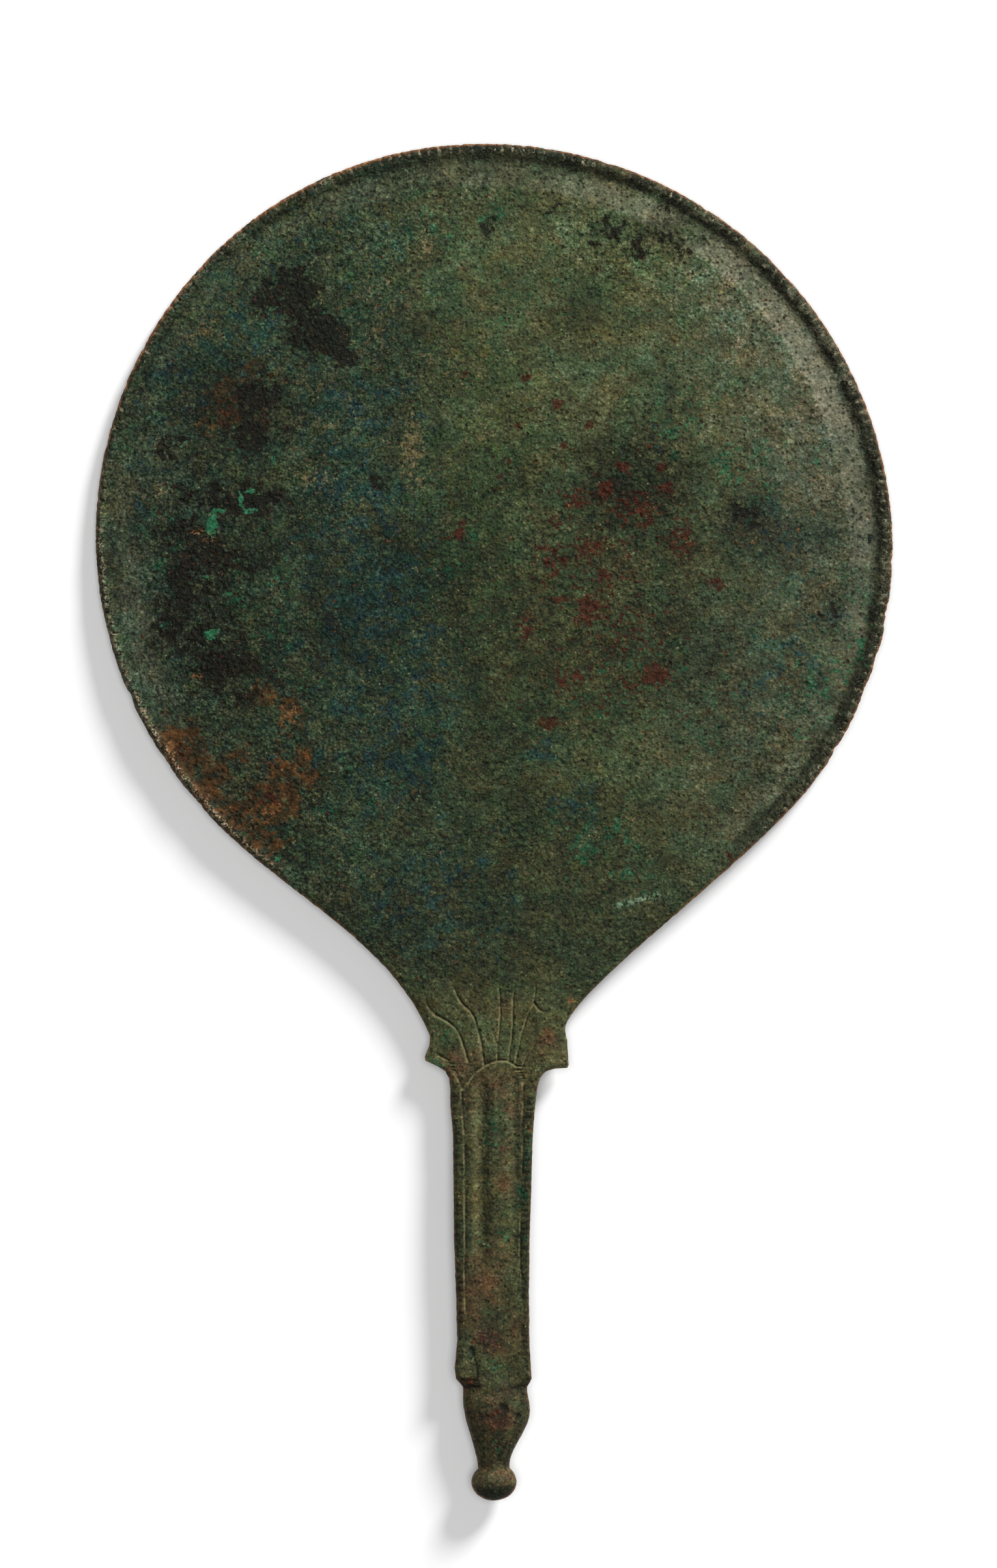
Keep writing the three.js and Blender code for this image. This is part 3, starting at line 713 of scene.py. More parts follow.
BLUE = [(-25.0, 47.0, 10.5, 40.0, 0.72), (-20.5, 42.5, 7.0, 8.5, 1.0), (-18.0, 9.5, 7.5, 7.5, 0.9),
        (-27.0, 76.0, 8.0, 12.0, 0.8), (-46.0, 90.0, 10.0, 8.0, 0.7), (-60.0, 82.0, 6.0, 12.0, 0.5),
        (-52.0, 100.0, 12.0, 4.0, 0.5), (29.8, 70.3, 1.8, 1.7, 0.5), (50.0, 54.0, 5.4, 4.4, 0.65),
        (62.3, 37.9, 3.2, 3.6, 0.7), (9.7, 12.4, 4.2, 3.4, 0.72), (13.6, 2.6, 4.6, 4.4, 0.75), (55.4, 47.2, 4.6, 5.6, 0.52),
        (-14.0, 24.0, 8.0, 14.0, 0.7), (-29.0, 108.0, 14.0, 6.0, 0.5), (-12.0, -12.0, 14.0, 12.0, 0.55),
        (54.0, 28.0, 9.0, 11.0, 0.5), (-38.0, 12.0, 8.0, 9.0, 0.4), (-64.0, 62.0, 3.0, 10.0, 0.5)]
EMERALD = [(17.2, -5.0, 3.0, 6.0, 0.85), (12.0, 0.0, 3.0, 3.0, 0.6), (-31.0, 92.0, 6.5, 7.5, 0.50), (-60.5, 52.0, 5.0, 7.0, 0.62),
           (-44.0, 40.0, 8.0, 14.0, 0.50), (4.0, 96.0, 10.0, 5.0, 0.50), (-8.0, 111.0, 12.0, 5.0, 0.40),
           (60.0, 20.0, 8.0, 12.0, 0.50), (67.0, 36.0, 4.0, 12.0, 0.60), (22.0, -9.0, 10.0, 8.0, 0.42), (21.6, -1.2, 4.6, 2.8, 0.72),
           (0.5, -100.2, 3.6, 1.6, 0.30), (6.2, -66.0, 1.0, 10.0, 0.8), (-0.5, -60.0, 1.6, 8.0, 0.34), (0.0, -77.0, 2.6, 2.2, 0.6),
           (-9.0, -39.0, 3.0, 5.0, 0.32), (-12.0, -44.0, 2.0, 2.0, 0.7), (-1.0, -115.0, 1.6, 2.0, 0.6), (-36.0, 22.0, 6.0, 8.0, 0.40),
           (-8.0, 45.0, 9.0, 16.0, 0.35), (34.0, 22.0, 14.0, 12.0, 0.40), (36.0, 72.0, 9.0, 9.0, 0.40),
           (46.0, 66.0, 5.4, 4.8, 0.72), (31.0, 75.2, 2.6, 2.8, 0.66), (60.2, 67.0, 1.6, 6.5, 0.70), (50.0, 60.0, 5.0, 3.0, 0.45), (-26.0, 2.0, 9.0, 9.0, 0.40), (20.0, 24.0, 9.0, 7.0, 0.45)]
WARM = [(-7.0, -45.2, 1.9, 3.2, 0.9), (-3.5, -43.7, 1.6, 1.6, 0.7), (9.3, -40.3, 1.6, 2.0, 1.0), (3.0, -34.0, 2.0, 2.2, 0.6),
        (-1.0, -49.0, 4.6, 3.2, 0.65), (3.9, -53.4, 1.6, 4.0, 0.8), (2.6, -61.4, 1.9, 2.4, 0.8), (2.1, -67.0, 1.8, 2.4, 0.8),
        (-5.0, -52.0, 0.8, 4.0, 0.6), (-1.6, -82.5, 4.4, 4.2, 0.8), (-2.4, -88.4, 3.4, 7.0, 0.9), (-1.5, -95.3, 3.4, 2.8, 1.3),
        (4.6, -92.8, 1.6, 2.6, 0.8), (-4.4, -104.0, 1.6, 1.2, 1.0), (0.0, -105.0, 4.5, 2.2, 0.8), (0.4, -110.4, 3.6, 3.0, 1.5),
        (-3.0, -110.0, 2.0, 3.0, 0.6), (0.5, -121.0, 3.6, 2.6, 0.8), (-5.5, -90.0, 1.0, 8.0, 0.5)]
MALACHITE = [(-44.4, 61.0, 1.5, 0.7, 0.85), (-46.6, 59.2, 0.8, 1.6, 0.8), (-45.0, 56.8, 1.7, 0.8, 0.8),
             (-52.2, 54.4, 1.0, 2.3, 1.0), (-50.8, 56.9, 1.7, 0.6, 0.85), (-49.2, 42.1, 1.3, 0.7, 0.8),
             (-55.0, 39.3, 0.8, 0.6, 0.8), (-52.1, 34.0, 1.5, 1.3, 0.85), (-53.2, 44.8, 0.5, 0.6, 0.8),
             (-60.4, 36.2, 1.3, 1.1, 0.6), (-58.4, 50.4, 0.5, 0.5, 0.8), (-60.2, 55.0, 0.9, 1.6, 0.6),
             (-39.6, -6.7, 0.8, 0.9, 1.0), (29.2, -13.6, 1.3, 0.9, 0.6), (22.3, -15.6, 0.8, 0.6, 0.6),
             (67.9, 31.7, 0.8, 3.0, 0.85), (65.0, 26.0, 0.8, 1.4, 0.6), (38.6, 112.7, 1.6, 0.9, 0.5),
             (-12.6, -11.0, 0.5, 0.5, 0.8), (-41.0, 66.0, 1.0, 1.6, 0.5), (10.0, 22.0, 2.0, 1.6, 0.4)]
CUPRITE = [(0.6, -110.4, 2.6, 2.2, 0.40), (-1.5, -95.6, 2.8, 1.8, 0.34), (-4.6, -103.6, 1.4, 0.9, 0.50), (22.0, 42.0, 20.0, 26.0, 0.16), (20.0, 48.0, 12.0, 14.0, 0.26), (18.0, 28.0, 12.0, 9.0, 0.22),
           (15.2, 59.4, 3.0, 2.8, 0.66), (20.5, 61.0, 1.5, 1.4, 0.85), (24.2, 65.5, 1.2, 0.9, 0.85),
           (30.5, 65.0, 0.9, 0.8, 0.85), (32.3, 60.8, 1.2, 1.2, 0.8), (26.4, 57.0, 4.8, 3.8, 0.52),
           (34.2, 52.0, 3.0, 4.2, 0.52), (17.0, 50.0, 3.2, 2.8, 0.66), (10.5, 48.0, 3.8, 4.8, 0.46),
           (11.5, 55.0, 1.8, 1.6, 0.56), (20.5, 44.8, 2.4, 1.6, 0.60), (12.4, 40.7, 2.4, 0.7, 0.8),
           (17.3, 38.6, 2.4, 2.8, 0.85), (20.5, 39.5, 4.5, 3.0, 0.48), (5.8, 35.5, 2.2, 3.6, 0.5),
           (40.6, 43.6, 2.4, 1.2, 0.55), (29.6, 26.8, 2.6, 2.1, 0.92), (25.2, 25.0, 2.4, 1.6, 0.6),
           (13.8, 26.2, 3.2, 1.8, 0.66), (10.0, 18.0, 2.6, 1.0, 0.75), (24.0, 34.0, 8.0, 6.0, 0.36),
           (6.0, 81.2, 0.9, 0.7, 0.8), (11.6, 77.2, 1.0, 0.9, 0.9), (5.5, 75.6, 0.8, 0.7, 0.7),
           (12.8, 69.2, 0.9, 0.8, 0.8), (3.2, 66.4, 0.7, 0.6, 0.8), (17.3, 72.7, 0.8, 0.7, 0.8), (-6.7, 53.0, 0.9, 1.2, 1.0), (-6.2, 55.2, 0.5, 0.6, 0.9),
           (0.9, 63.4, 0.6, 0.6, 0.9), (3.7, 72.8, 0.6, 0.6, 0.9), (-5.5, 81.5, 0.6, 0.5, 0.8), (-8.6, 52.0, 0.5, 0.5, 0.8),
           (27.8, 69.0, 0.9, 0.8, 0.7), (43.0, -6.5, 0.5, 0.7, 0.9), (-49.0, 75.4, 2.4, 2.4, 0.30),
           (-41.5, 4.0, 2.4, 2.0, 0.55), (-58.5, 11.5, 1.8, 3.0, 0.60)]
OCHRE = [(59.2, 56.8, 0.6, 0.5, 0.9), (55.8, 53.8, 0.5, 0.5, 0.8), (47.0, 51.5, 0.5, 0.5, 0.8),
         (36.6, 47.6, 0.4, 0.4, 0.7), (52.6, 101.0, 0.8, 0.7, 1.0), 
         (-60.2, 11.5, 1.2, 3.6, 0.75),
         (-37.8, 19.4, 1.8, 2.4, 0.55), (-41.8, 1.5, 2.4, 2.2, 0.5), (-54.0, 52.0, 2.2, 1.6, 0.55),
         (-54.6, 27.0, 2.0, 0.6, 0.6), (13.8, -33.2, 0.8, 0.6, 0.9)]
TAN = [(-15.2, 69.0, 2.0, 5.4, 0.75), (-14.2, 61.5, 1.6, 2.6, 0.55), (-12.8, 106.0, 1.8, 3.2, 0.65), (-31.0, 72.5, 3.0, 2.8, 0.50),
       (-33.0, 63.0, 5.5, 2.8, 0.45), (-22.0, 88.0, 6.0, 5.0, 0.32), (-44.0, 104.0, 7.0, 3.0, 0.30), (-34.0, 80.0, 5.0, 3.0, 0.34),
       (-20.0, 98.0, 7.0, 6.0, 0.32), (-28.0, 56.0, 5.0, 4.0, 0.32), (-54.0, 90.0, 5.0, 4.0, 0.28), (-10.0, 84.0, 7.0, 6.0, 0.26)]
SCRATCHES = [[(22.6, -15.6), (26.5, -14.6), (30.2, -13.9)]]
# broad lightness of the face: x, y, half-width, half-height, amount
LIGHT = [(22.0, 44.0, 16.0, 26.0, 0.09), (2.0, 12.0, 22.0, 18.0, 0.06), (58.0, 32.0, 14.0, 14.0, 0.06), (-26.0, 78.0, 14.0, 14.0, 0.05),
         (20.0, 112.0, 48.0, 14.0, 0.20), (52.0, 92.0, 24.0, 26.0, 0.175), (62.0, 62.0, 16.0, 32.0, 0.22),
         (26.0, 88.0, 30.0, 24.0, 0.14), (52.0, 18.0, 20.0, 26.0, 0.10), (3.0, 72.0, 14.0, 22.0, 0.16),
         (-40.0, 108.0, 26.0, 16.0, 0.06), (40.0, 2.0, 26.0, 16.0, 0.14), (-66.0, 40.0, 6.0, 34.0, 0.12),
         (22.0, -20.0, 14.0, 10.0, 0.06)]
DIM = [(26.5, 62.5, 9.0, 6.5, 0.22), (8.0, 46.0, 26.0, 22.0, 0.06), (50.5, 54.0, 8.0, 6.5, 0.20),
       (62.3, 37.5, 4.0, 5.0, 0.18), (-52.0, 52.0, 12.0, 12.0, 0.06), (-54.0, 36.0, 10.0, 16.0, 0.08),
       (-46.0, 76.0, 8.0, 8.0, 0.10), (36.0, 110.0, 12.0, 5.0, 0.10), (-21.0, 42.0, 8.0, 10.0, 0.06)]

fx, fy = X, Y
fade_face = np.where(FACE, 1.0, 0.0)
th, r = polar(fx, fy)


def total(rows_, soft, warp, seed):
    xw = fx + warp * wave(fx, fy, 18, seed)
    yw = fy + warp * wave(fx, fy, 18, seed + 1)
    out = np.zeros(len(fx))
    for cx, cy, rx, ry, amount in rows_:
        d = np.hypot((xw - cx) / rx, (yw - cy) / ry)
        out = out + amount * (1 - ease(d, 1 - soft, 1 + soft))
    return out


on_handle = ease(fy, -25, -36)
# painted sheen: a bright arc on the crest inside the lip towards the upper right, and a slightly lighter band inside
# the rim
crest_arc = np.exp(-((r - 65.7 - 0.3 * wave(fx, fy, 9, 151)) / 0.55) ** 2) * side_of_disc(th, 32, 30)
light = 0.30 + total(LIGHT, 0.95, 5.0, 111) - total(DIM, 0.8, 3.0, 113)
light = light + 0.05 * layers(fx, fy, 22, 115, 3)
light = light + 0.17 * crest_arc
light = light + 0.03 * (r > 64.5) * ease(fy, -8, 6) * (1 - ease(E, 5.5, 9.0))
run_of = ease(fy, -47, -50) * (1 - ease(fy, -75, -84))
# handle: painted light on the flute rolls whose walls face the key light, painted shade in the dips whose walls face
# away; the border strips are darker
lit_rolls = run_of * (np.exp(-((fx + 3.35) / 0.80) ** 2) + 0.55 * np.exp(-((fx - 2.7) / 1.0) ** 2))
shaded_dips = run_of * (0.8 * np.exp(-((fx + 1.3) / 1.0) ** 2) + 0.6 * np.exp(-((fx - 4.35) / 0.35) ** 2) + 0.6 * np.exp(-((fx + 4.95) / 0.45) ** 2))
strips = ease(fy, -48, -52) * (1 - ease(fy, -97, -101)) * np.clip(ease(np.abs(fx + 0.3), 5.2, 5.7), 0, 1)
light_low = 0.455 + 0.07 * layers(fx, fy, 9, 117, 2) + 0.17 * lit_rolls - 0.20 * shaded_dips - 0.13 * strips
# lighter and darker steps along the handle; on the knob, painted light on its upper half and painted shade at its far
# end
light_low = light_low - 0.02 * ease(fy, -62, -72) + 0.05 * ease(fy, -47, -42) - 0.08 * ease(fy, -98, -102) - 0.10 * ease(fy, -111, -114) + 0.25 * ease(fy, -118.2, -119.8) - 0.40 * ease(fy, -121.4, -123.6)
light = mix(light, light_low, on_handle)
# notches of the lip, lightened in colour further down: painted highlight on their lit walls
nick_cut = notch(th, fy) * ease(E, -0.05, 0.3) * (1 - ease(E, 1.15, 1.7))
# how strongly the bevel band is lightened round the disc: painted sheen, strongest on the right and upper right, some
# on the left
bevel_share = np.interp(np.degrees(th) % 360, [0, 20, 60, 85, 110, 130, 165, 190, 210, 225, 310, 330, 360],
                        [0.95, 1.0, 0.85, 0.60, 0.45, 0.12, 0.26, 0.54, 0.46, 0.0, 0.10, 0.40, 0.95])
bevel_share = clip01(bevel_share + 0.35 * layers(fx, fy, 14, 141, 2) * (bevel_share > 0.05))
# how dark the lip and channel are round the disc, darkest on the right, turned from the key light: partly the lip's
# dark crust, partly painted shade
lip_dark = np.interp(np.degrees(th) % 360, [0, 60, 110, 140, 180, 225, 310, 360], [1.0, 0.95, 0.75, 0.45, 0.45, 0.35, 0.8, 1.0])
lip_end = np.interp(np.degrees(th) % 360, [0, 60, 110, 150, 225, 310, 360], [2.1, 2.0, 1.5, 0.95, 1.05, 1.6, 2.1])
# incised lines: masks for painted highlight on the groove wall facing the key light and painted shade on the wall
# facing away
reach = 0.24
toward_light = (reach * math.cos(math.radians(50)), reach * math.sin(math.radians(50)))
lit_wall, shaded_wall = (np.zeros(len(fx)) for _ in range(2))
near_lines = (fy < -24) & (fy > -111.5) & (KIND == 0)
lit_wall[near_lines] = grooves(fx[near_lines] + toward_light[0], fy[near_lines] + toward_light[1]) / 0.36
shaded_wall[near_lines] = grooves(fx[near_lines] - toward_light[0] * 0.6, fy[near_lines] - toward_light[1] * 0.6) / 0.36
lit_wall = lit_wall * ease(fy, -97, -92) * (1 - 0.10 * ease(fy, -47, -53))
pale = np.zeros(len(fx))
for line in SCRATCHES:
    pale = np.maximum(pale, np.exp(-(line_gap(fx, fy, line) / 0.42) ** 2))
low_left = side_of_disc(th, 205, 42)
# mask for a painted highlight along the lip's crest on the lower left, where its inner wall faces the key light
crest = (0.4 * low_left + 0.9 * side_of_disc(th, 219, 22)) * np.exp(-((E - 1.05) / 0.35) ** 2) * ease(fy, -16, -4)
masks = {
    "light": np.where(FACE, light, 0.36 + 0.07 * layers(fx, fy, 20, 119, 3)),
    "black": np.where(FACE, zone(fx, fy, BLACK, 0.55, 1.6, 121), zone(fx, fy, [(30, 70, 12, 8, 0.9), (-20, 20, 8, 12, 0.8)], 0.6, 3, 122)),
    "brown": np.where(FACE, zone(fx, fy, BROWN, 0.65, 2.0, 123), zone(fx, fy, [(-30, 80, 14, 9, 0.9), (18, 12, 10, 9, 0.8), (40, 40, 8, 12, 0.6)], 0.7, 3, 124)),
    "blue": np.where(FACE, zone(fx, fy, BLUE, 0.85, 3.0, 125), 0.35 + 0.4 * layers(fx, fy, 30, 126, 2)),
    "emerald": np.where(FACE, zone(fx, fy, EMERALD, 0.8, 2.0, 127), 0.3 + 0.4 * layers(fx, fy, 16, 128, 2)),
    "malachite": np.where(FACE, zone(fx, fy, MALACHITE, 0.6, 0.8, 129), 0.0),
    "cuprite": np.where(FACE, zone(fx, fy, [(*row[:4], row[4] * (1.4 if row[2] < 1.6 else 1.0)) for row in CUPRITE], 0.7, 0.7, 131), 0.0),
    "ochre": np.where(FACE, zone(fx, fy, OCHRE, 0.7, 0.7, 133), 0.0),
    "warmth": ease(fy, 62, 26),
    "tan": np.where(FACE, zone(fx, fy, TAN, 0.8, 1.0, 143), 0.0),
    "handle": on_handle,
    "rough_zone": np.where(FACE, zone(fx, fy, PITTED, 0.7, 2.0, 51), 0.3),
    "edge": (1 - ease(E, 0.02, 0.34 + 0.34 * side_of_disc(th, 128, 44))) * (mix(0.25, 1.0, ease(fy, -30, -4)) + 0.8 * ease(fy, -121.5, -123.5)) * (1 - 0.7 * side_of_disc(th, 205, 46)) * np.where(BACK, 0.05, np.where(KIND == 1, 0.05, 1.0)),
    "nick": np.where(FACE, nick_cut, 0),
    "bevel": np.where(FACE, ease(E, 3.1, 3.8) * (1 - ease(E, 7.4, 8.1)) * ease(fy, -12, 4) * bevel_share, 0),
    "rim": np.where(FACE, (1 - ease(E, lip_end - 0.35, lip_end + 0.35)) * lip_dark ** 0.5 * ease(fy, -14, 2), 0),
    "channel": np.where(FACE, np.exp(-((E - 2.5) / 0.7) ** 2) * ease(fy, -14, 2) * lip_dark ** 2 * 1.4, 0),
    "lit_wall": np.where(FACE, lit_wall, 0),
    "shaded_wall": np.where(FACE, shaded_wall, 0),
    "pale": np.where(FACE, pale, 0),
    "crest": np.where(FACE, crest, 0),
    "warm": np.where(FACE, zone(fx, fy, WARM, 0.7, 1.0, 135), 0.2),
    "green_tint": np.where(FACE, zone(fx, fy, [(-3, 62, 12, 30, 0.9), (10, 30, 20, 24, 0.5), (0, 100, 24, 14, 0.5), (26, 100, 16, 12, 0.5), (0, -36, 12, 8, 0.5), (0, -78, 6, 12, 0.4), (0, -99, 6, 3, 0.3)], 0.9, 4.0, 137), 0.3),
    "cool_tint": np.where(FACE, ease(fx, 4, -26) * ease(fy, -34, -18), 0.4),
    "grey_tint": np.where(FACE, zone(fx, fy, [(62, 66, 16, 36, 0.9), (50, 96, 16, 16, 0.7), (50, 20, 16, 24, 0.6), (-62, 40, 8, 30, 0.5), (-56, 0, 12, 12, 0.6)], 0.9, 4.0, 139), 0.2),
}
# darker in cavities, lighter on high spots
base_z = np.where(FACE, face(X, Y, E), Z)
height = np.where(FACE, Z - base_z, 0.0)
height[KIND == 1] = 0
height = height + np.where(near_lines, np.minimum(0.36, lit_wall * 0.2 + shaded_wall * 0.2), 0)
masks["hollow"] = clip01(-height / 0.22)
masks["proud"] = clip01(height / 0.12)
for name, values in masks.items():
    a = me.attributes.new(name, "FLOAT", "POINT")
    a.data.foreach_set("value", np.clip(values, 0, 1.5).astype(np.float32))

mirror = bpy.data.objects.new("mirror_body", me)
bpy.context.scene.collection.objects.link(mirror)


# --------------------------------------------------------------------------
# patina
# --------------------------------------------------------------------------
TONE = (1.08, 1.05, 0.965)


def linear(r8, g8, b8):
    def f(c, tone):
        c = c / 255
        return tone * (c / 12.92 if c <= 0.04045 else ((c + 0.055) / 1.055) ** 2.4)
    return (f(r8, TONE[0]), f(g8, TONE[1]), f(b8, TONE[2]), 1.0)


class Tree:
    def __init__(self, material):
        material.use_nodes = True
        self.t = material.node_tree
        self.t.nodes.clear()

    def node(self, kind_, **sets):
        n = self.t.nodes.new(kind_)
        for k, v in sets.items():
            setattr(n, k, v)
        return n

    def link(self, a, b):
        self.t.links.new(a, b)

    def put(self, socket, value):
        if isinstance(value, (int, float, tuple)):
            socket.default_value = value
        else:
            self.link(value, socket)

    def math(self, op, a, b=0.0, c=0.0, clamp=False):
        n = self.node("ShaderNodeMath", operation=op, use_clamp=clamp)
        for s, v in zip(n.inputs, (a, b, c)):
            self.put(s, v)
        return n.outputs[0]

    def attr(self, name):
        return self.node("ShaderNodeAttribute", attribute_name=name).outputs["Fac"]

    def step(self, value, lo, hi):
        n = self.node("ShaderNodeMapRange", interpolation_type="SMOOTHSTEP", clamp=True)
        self.put(n.inputs["Value"], value)
        n.inputs["From Min"].default_value = lo
        n.inputs["From Max"].default_value = hi
        return n.outputs["Result"]

    def noise(self, size, detail=2.0, rough=0.5, seed=0.0, distort=0.0, kind_="FBM"):
        """Noise in object space whose features are about size mm across."""
        if seed not in self.moved:
            m = self.node("ShaderNodeVectorMath", operation="ADD")
            self.link(self.space, m.inputs[0])
            m.inputs[1].default_value = (seed * 13.7, seed * -7.3, seed * 5.1)
            self.moved[seed] = m.outputs[0]
        n = self.node("ShaderNodeTexNoise", noise_dimensions="3D", noise_type=kind_, normalize=True)
        self.link(self.moved[seed], n.inputs["Vector"])
        n.inputs["Scale"].default_value = 1.0 / size
        n.inputs["Detail"].default_value = detail
        n.inputs["Roughness"].default_value = rough
        n.inputs["Distortion"].default_value = distort
        return n.outputs["Fac"]

    def blend(self, fac, a, b, mode="MIX"):
        n = self.node("ShaderNodeMix", data_type="RGBA", blend_type=mode, clamp_factor=True)
        self.put(n.inputs[0], fac)
        for s, v in ((n.inputs[6], a), (n.inputs[7], b)):
            self.put(s, v)
        return n.outputs[2]

    def ramp(self, value, stops):
        n = self.node("ShaderNodeValToRGB")
        self.link(value, n.inputs[0])
        els = n.color_ramp.elements
        while len(els) < len(stops):
            els.new(0.5)
        for e_, (p_, c_) in zip(els, stops):
            e_.position = p_
            e_.color = c_
        return n.outputs[0]


mat = bpy.data.materials.new("patinated_bronze")
b = Tree(mat)
coord = b.node("ShaderNodeTexCoord").outputs["Object"]
scale = b.node("ShaderNodeVectorMath", operation="SCALE")
b.link(coord, scale.inputs[0])
scale.inputs["Scale"].default_value = 1000.0     # millimetres
b.space = scale.outputs[0]
b.moved = {0.0: b.space}

def swing(value, amount):
    """Noise about its middle, times an amount."""
    return b.math("MULTIPLY", b.math("SUBTRACT", value, 0.5), amount)


def plus(*parts):
    out_ = parts[0]
    for q in parts[1:]:
        out_ = b.math("ADD", out_, q)
    return out_


def spots(size, seed, radius, share, more=None):
    """Small round spots: cell size in mm, radius and share of the cells that have one."""
    shift = b.node("ShaderNodeVectorMath", operation="ADD")
    b.link(b.space, shift.inputs[0])
    shift.inputs[1].default_value = (seed * 3.7, seed * 9.1, seed * -4.3)
    n = b.node("ShaderNodeTexVoronoi", voronoi_dimensions="3D", feature="F1")
    b.link(shift.outputs[0], n.inputs["Vector"])
    n.inputs["Scale"].default_value = 1.0 / size
    part = b.node("ShaderNodeSeparateColor")
    b.link(n.outputs["Color"], part.inputs[0])
    chance = part.outputs[0]
    if more is not None:
        chance = b.math("ADD", chance, more)
    here = b.step(chance, 1.0 - share, 1.02 - share)
    size_of = b.math("MULTIPLY", part.outputs[1], 0.5 * radius / size)
    gap = b.math("SUBTRACT", n.outputs["Distance"], size_of)
    return b.math("MULTIPLY", here, b.math("SUBTRACT", 1.0, b.step(gap, 0.35 * radius / size, 0.85 * radius / size)))


def bend(size, amount, seed):
    """Object space pushed about by soft noise."""
    n = b.node("ShaderNodeTexNoise", noise_dimensions="3D")
    b.link(b.space, n.inputs["Vector"])
    n.inputs["Scale"].default_value = 1.0 / size
    n.inputs["Detail"].default_value = 2.0
    centred = b.node("ShaderNodeVectorMath", operation="SUBTRACT")
    b.link(n.outputs["Color"], centred.inputs[0])
    centred.inputs[1].default_value = (0.5, 0.5, 0.5)
    scaled = b.node("ShaderNodeVectorMath", operation="SCALE")
    b.link(centred.outputs[0], scaled.inputs[0])
    scaled.inputs["Scale"].default_value = amount
    moved = b.node("ShaderNodeVectorMath", operation="ADD")
    b.link(b.space, moved.inputs[0])
    b.link(scaled.outputs[0], moved.inputs[1])
    shifted = b.node("ShaderNodeVectorMath", operation="ADD")
    b.link(moved.outputs[0], shifted.inputs[0])
    shifted.inputs[1].default_value = (seed * 5.3, seed * 2.9, seed * -7.1)
    return shifted.outputs[0]


def grains(size, space):
    """Crust grains of the given size: roundness from 1 at the middle to 0 between grains, and three random numbers."""
    n = b.node("ShaderNodeTexVoronoi", voronoi_dimensions="3D", feature="F1")
    b.link(space, n.inputs["Vector"])
    n.inputs["Scale"].default_value = 1.0 / size
    part = b.node("ShaderNodeSeparateColor")
    b.link(n.outputs["Color"], part.inputs[0])
    round_top = b.math("SUBTRACT", 1.0, b.step(n.outputs["Distance"], 0.05, 0.80))
    return round_top, part.outputs[0], part.outputs[1], part.outputs[2]


rough_zone = b.attr("rough_zone")
crust, crust_a, crust_b, crust_c = grains(0.95, bend(1.1, 0.9, 1.0))
crumb, crumb_a, crumb_b, crumb_c = grains(0.46, bend(0.7, 0.4, 2.0))
hollow, proud = b.attr("hollow"), b.attr("proud")
patch = b.noise(8.0, 4.0, 0.6, 1.0)
mottle = b.noise(2.6, 3.0, 0.6, 2.0)
grain = b.noise(0.85, 2.0, 0.7, 3.0)
tiny = b.noise(0.36, 0.6, 0.5, 12.0)
speck = b.noise(0.95, 2.0, 0.6, 4.0)
vein = b.noise(3.2, 5.0, 0.65, 5.0, 0.6)
break_up = b.noise(1.15, 4.0, 0.68, 6.0)
coarse_break = b.noise(3.4, 4.0, 0.6, 7.0)

# lightness of the ground patina
busy = plus(0.70, b.math("MULTIPLY", b.attr("cool_tint"), 0.30), b.math("MULTIPLY", b.attr("rough_zone"), 0.26), swing(patch, 0.9))
v = plus(b.attr("light"), swing(patch, 0.40), swing(mottle, 0.50),
         b.math("MULTIPLY", plus(swing(grain, 0.56), swing(crust_a, 0.12), swing(crumb_a, 0.20), swing(tiny, 0.74)), busy))
v = plus(v, b.math("MULTIPLY", proud, 0.16), b.math("MULTIPLY", hollow, -0.34), swing(crust, 0.14), swing(crumb, 0.10))
ground = b.ramp(v, [(0.0, linear(19, 23, 18)), (0.2, linear(37, 43, 33)), (0.4, linear(58, 64, 48)),
                    (0.6, linear(79, 86, 66)), (0.8, linear(107, 112, 93)), (1.0, linear(147, 150, 130))])


def drift(size, seed, lo, hi, amount, tone, base):
    """Ground tinted where a soft noise of the given size runs high, broken up grain by grain."""
    field_ = plus(b.noise(size, 5.0, 0.68, seed), swing(crust_b, 0.07), swing(crumb_b, 0.06))
    k = b.math("MULTIPLY", b.math("MULTIPLY", b.step(field_, lo, hi), amount), calm)
    return b.blend(k, base, b.blend(1.0, base, (*tone, 1.0), "MULTIPLY"))


calm = b.math("SUBTRACT", plus(0.68, b.math("MULTIPLY", b.attr("cool_tint"), 0.50)), b.math("MULTIPLY", b.attr("handle"), 0.30))
# play of hue: olive and green at large, then teal, tan and green clouds, broken by the grains
wide = b.step(b.noise(7.5, 3.0, 0.6, 14.0), 0.38, 0.62)
ground = b.blend(1.0, ground, b.blend(wide, (1.10, 0.99, 0.80, 1.0), (0.88, 1.05, 0.92, 1.0)), "MULTIPLY")
ground = drift(3.4, 15.0, 0.48, 0.64, 0.70, (0.66, 1.00, 1.10), ground)
ground = drift(3.6, 16.0, 0.51, 0.66, 0.75, (1.32, 1.04, 0.80), ground)
ground = drift(4.2, 17.0, 0.53, 0.67, 0.55, (0.80, 1.14, 0.84), ground)
ground = drift(2.6, 19.0, 0.54, 0.66, 0.55, (0.74, 0.70, 0.62), ground)
hue = b.step(b.noise(0.7, 2.0, 0.6, 13.0), 0.38, 0.62)
ground = b.blend(0.5, ground, b.blend(1.0, ground, b.blend(hue, (1.12, 0.98, 0.84, 1.0), (0.88, 1.03, 1.02, 1.0)), "MULTIPLY"))
lean = b.step(b.noise(0.6, 2.0, 0.7, 22.0), 0.38, 0.62)
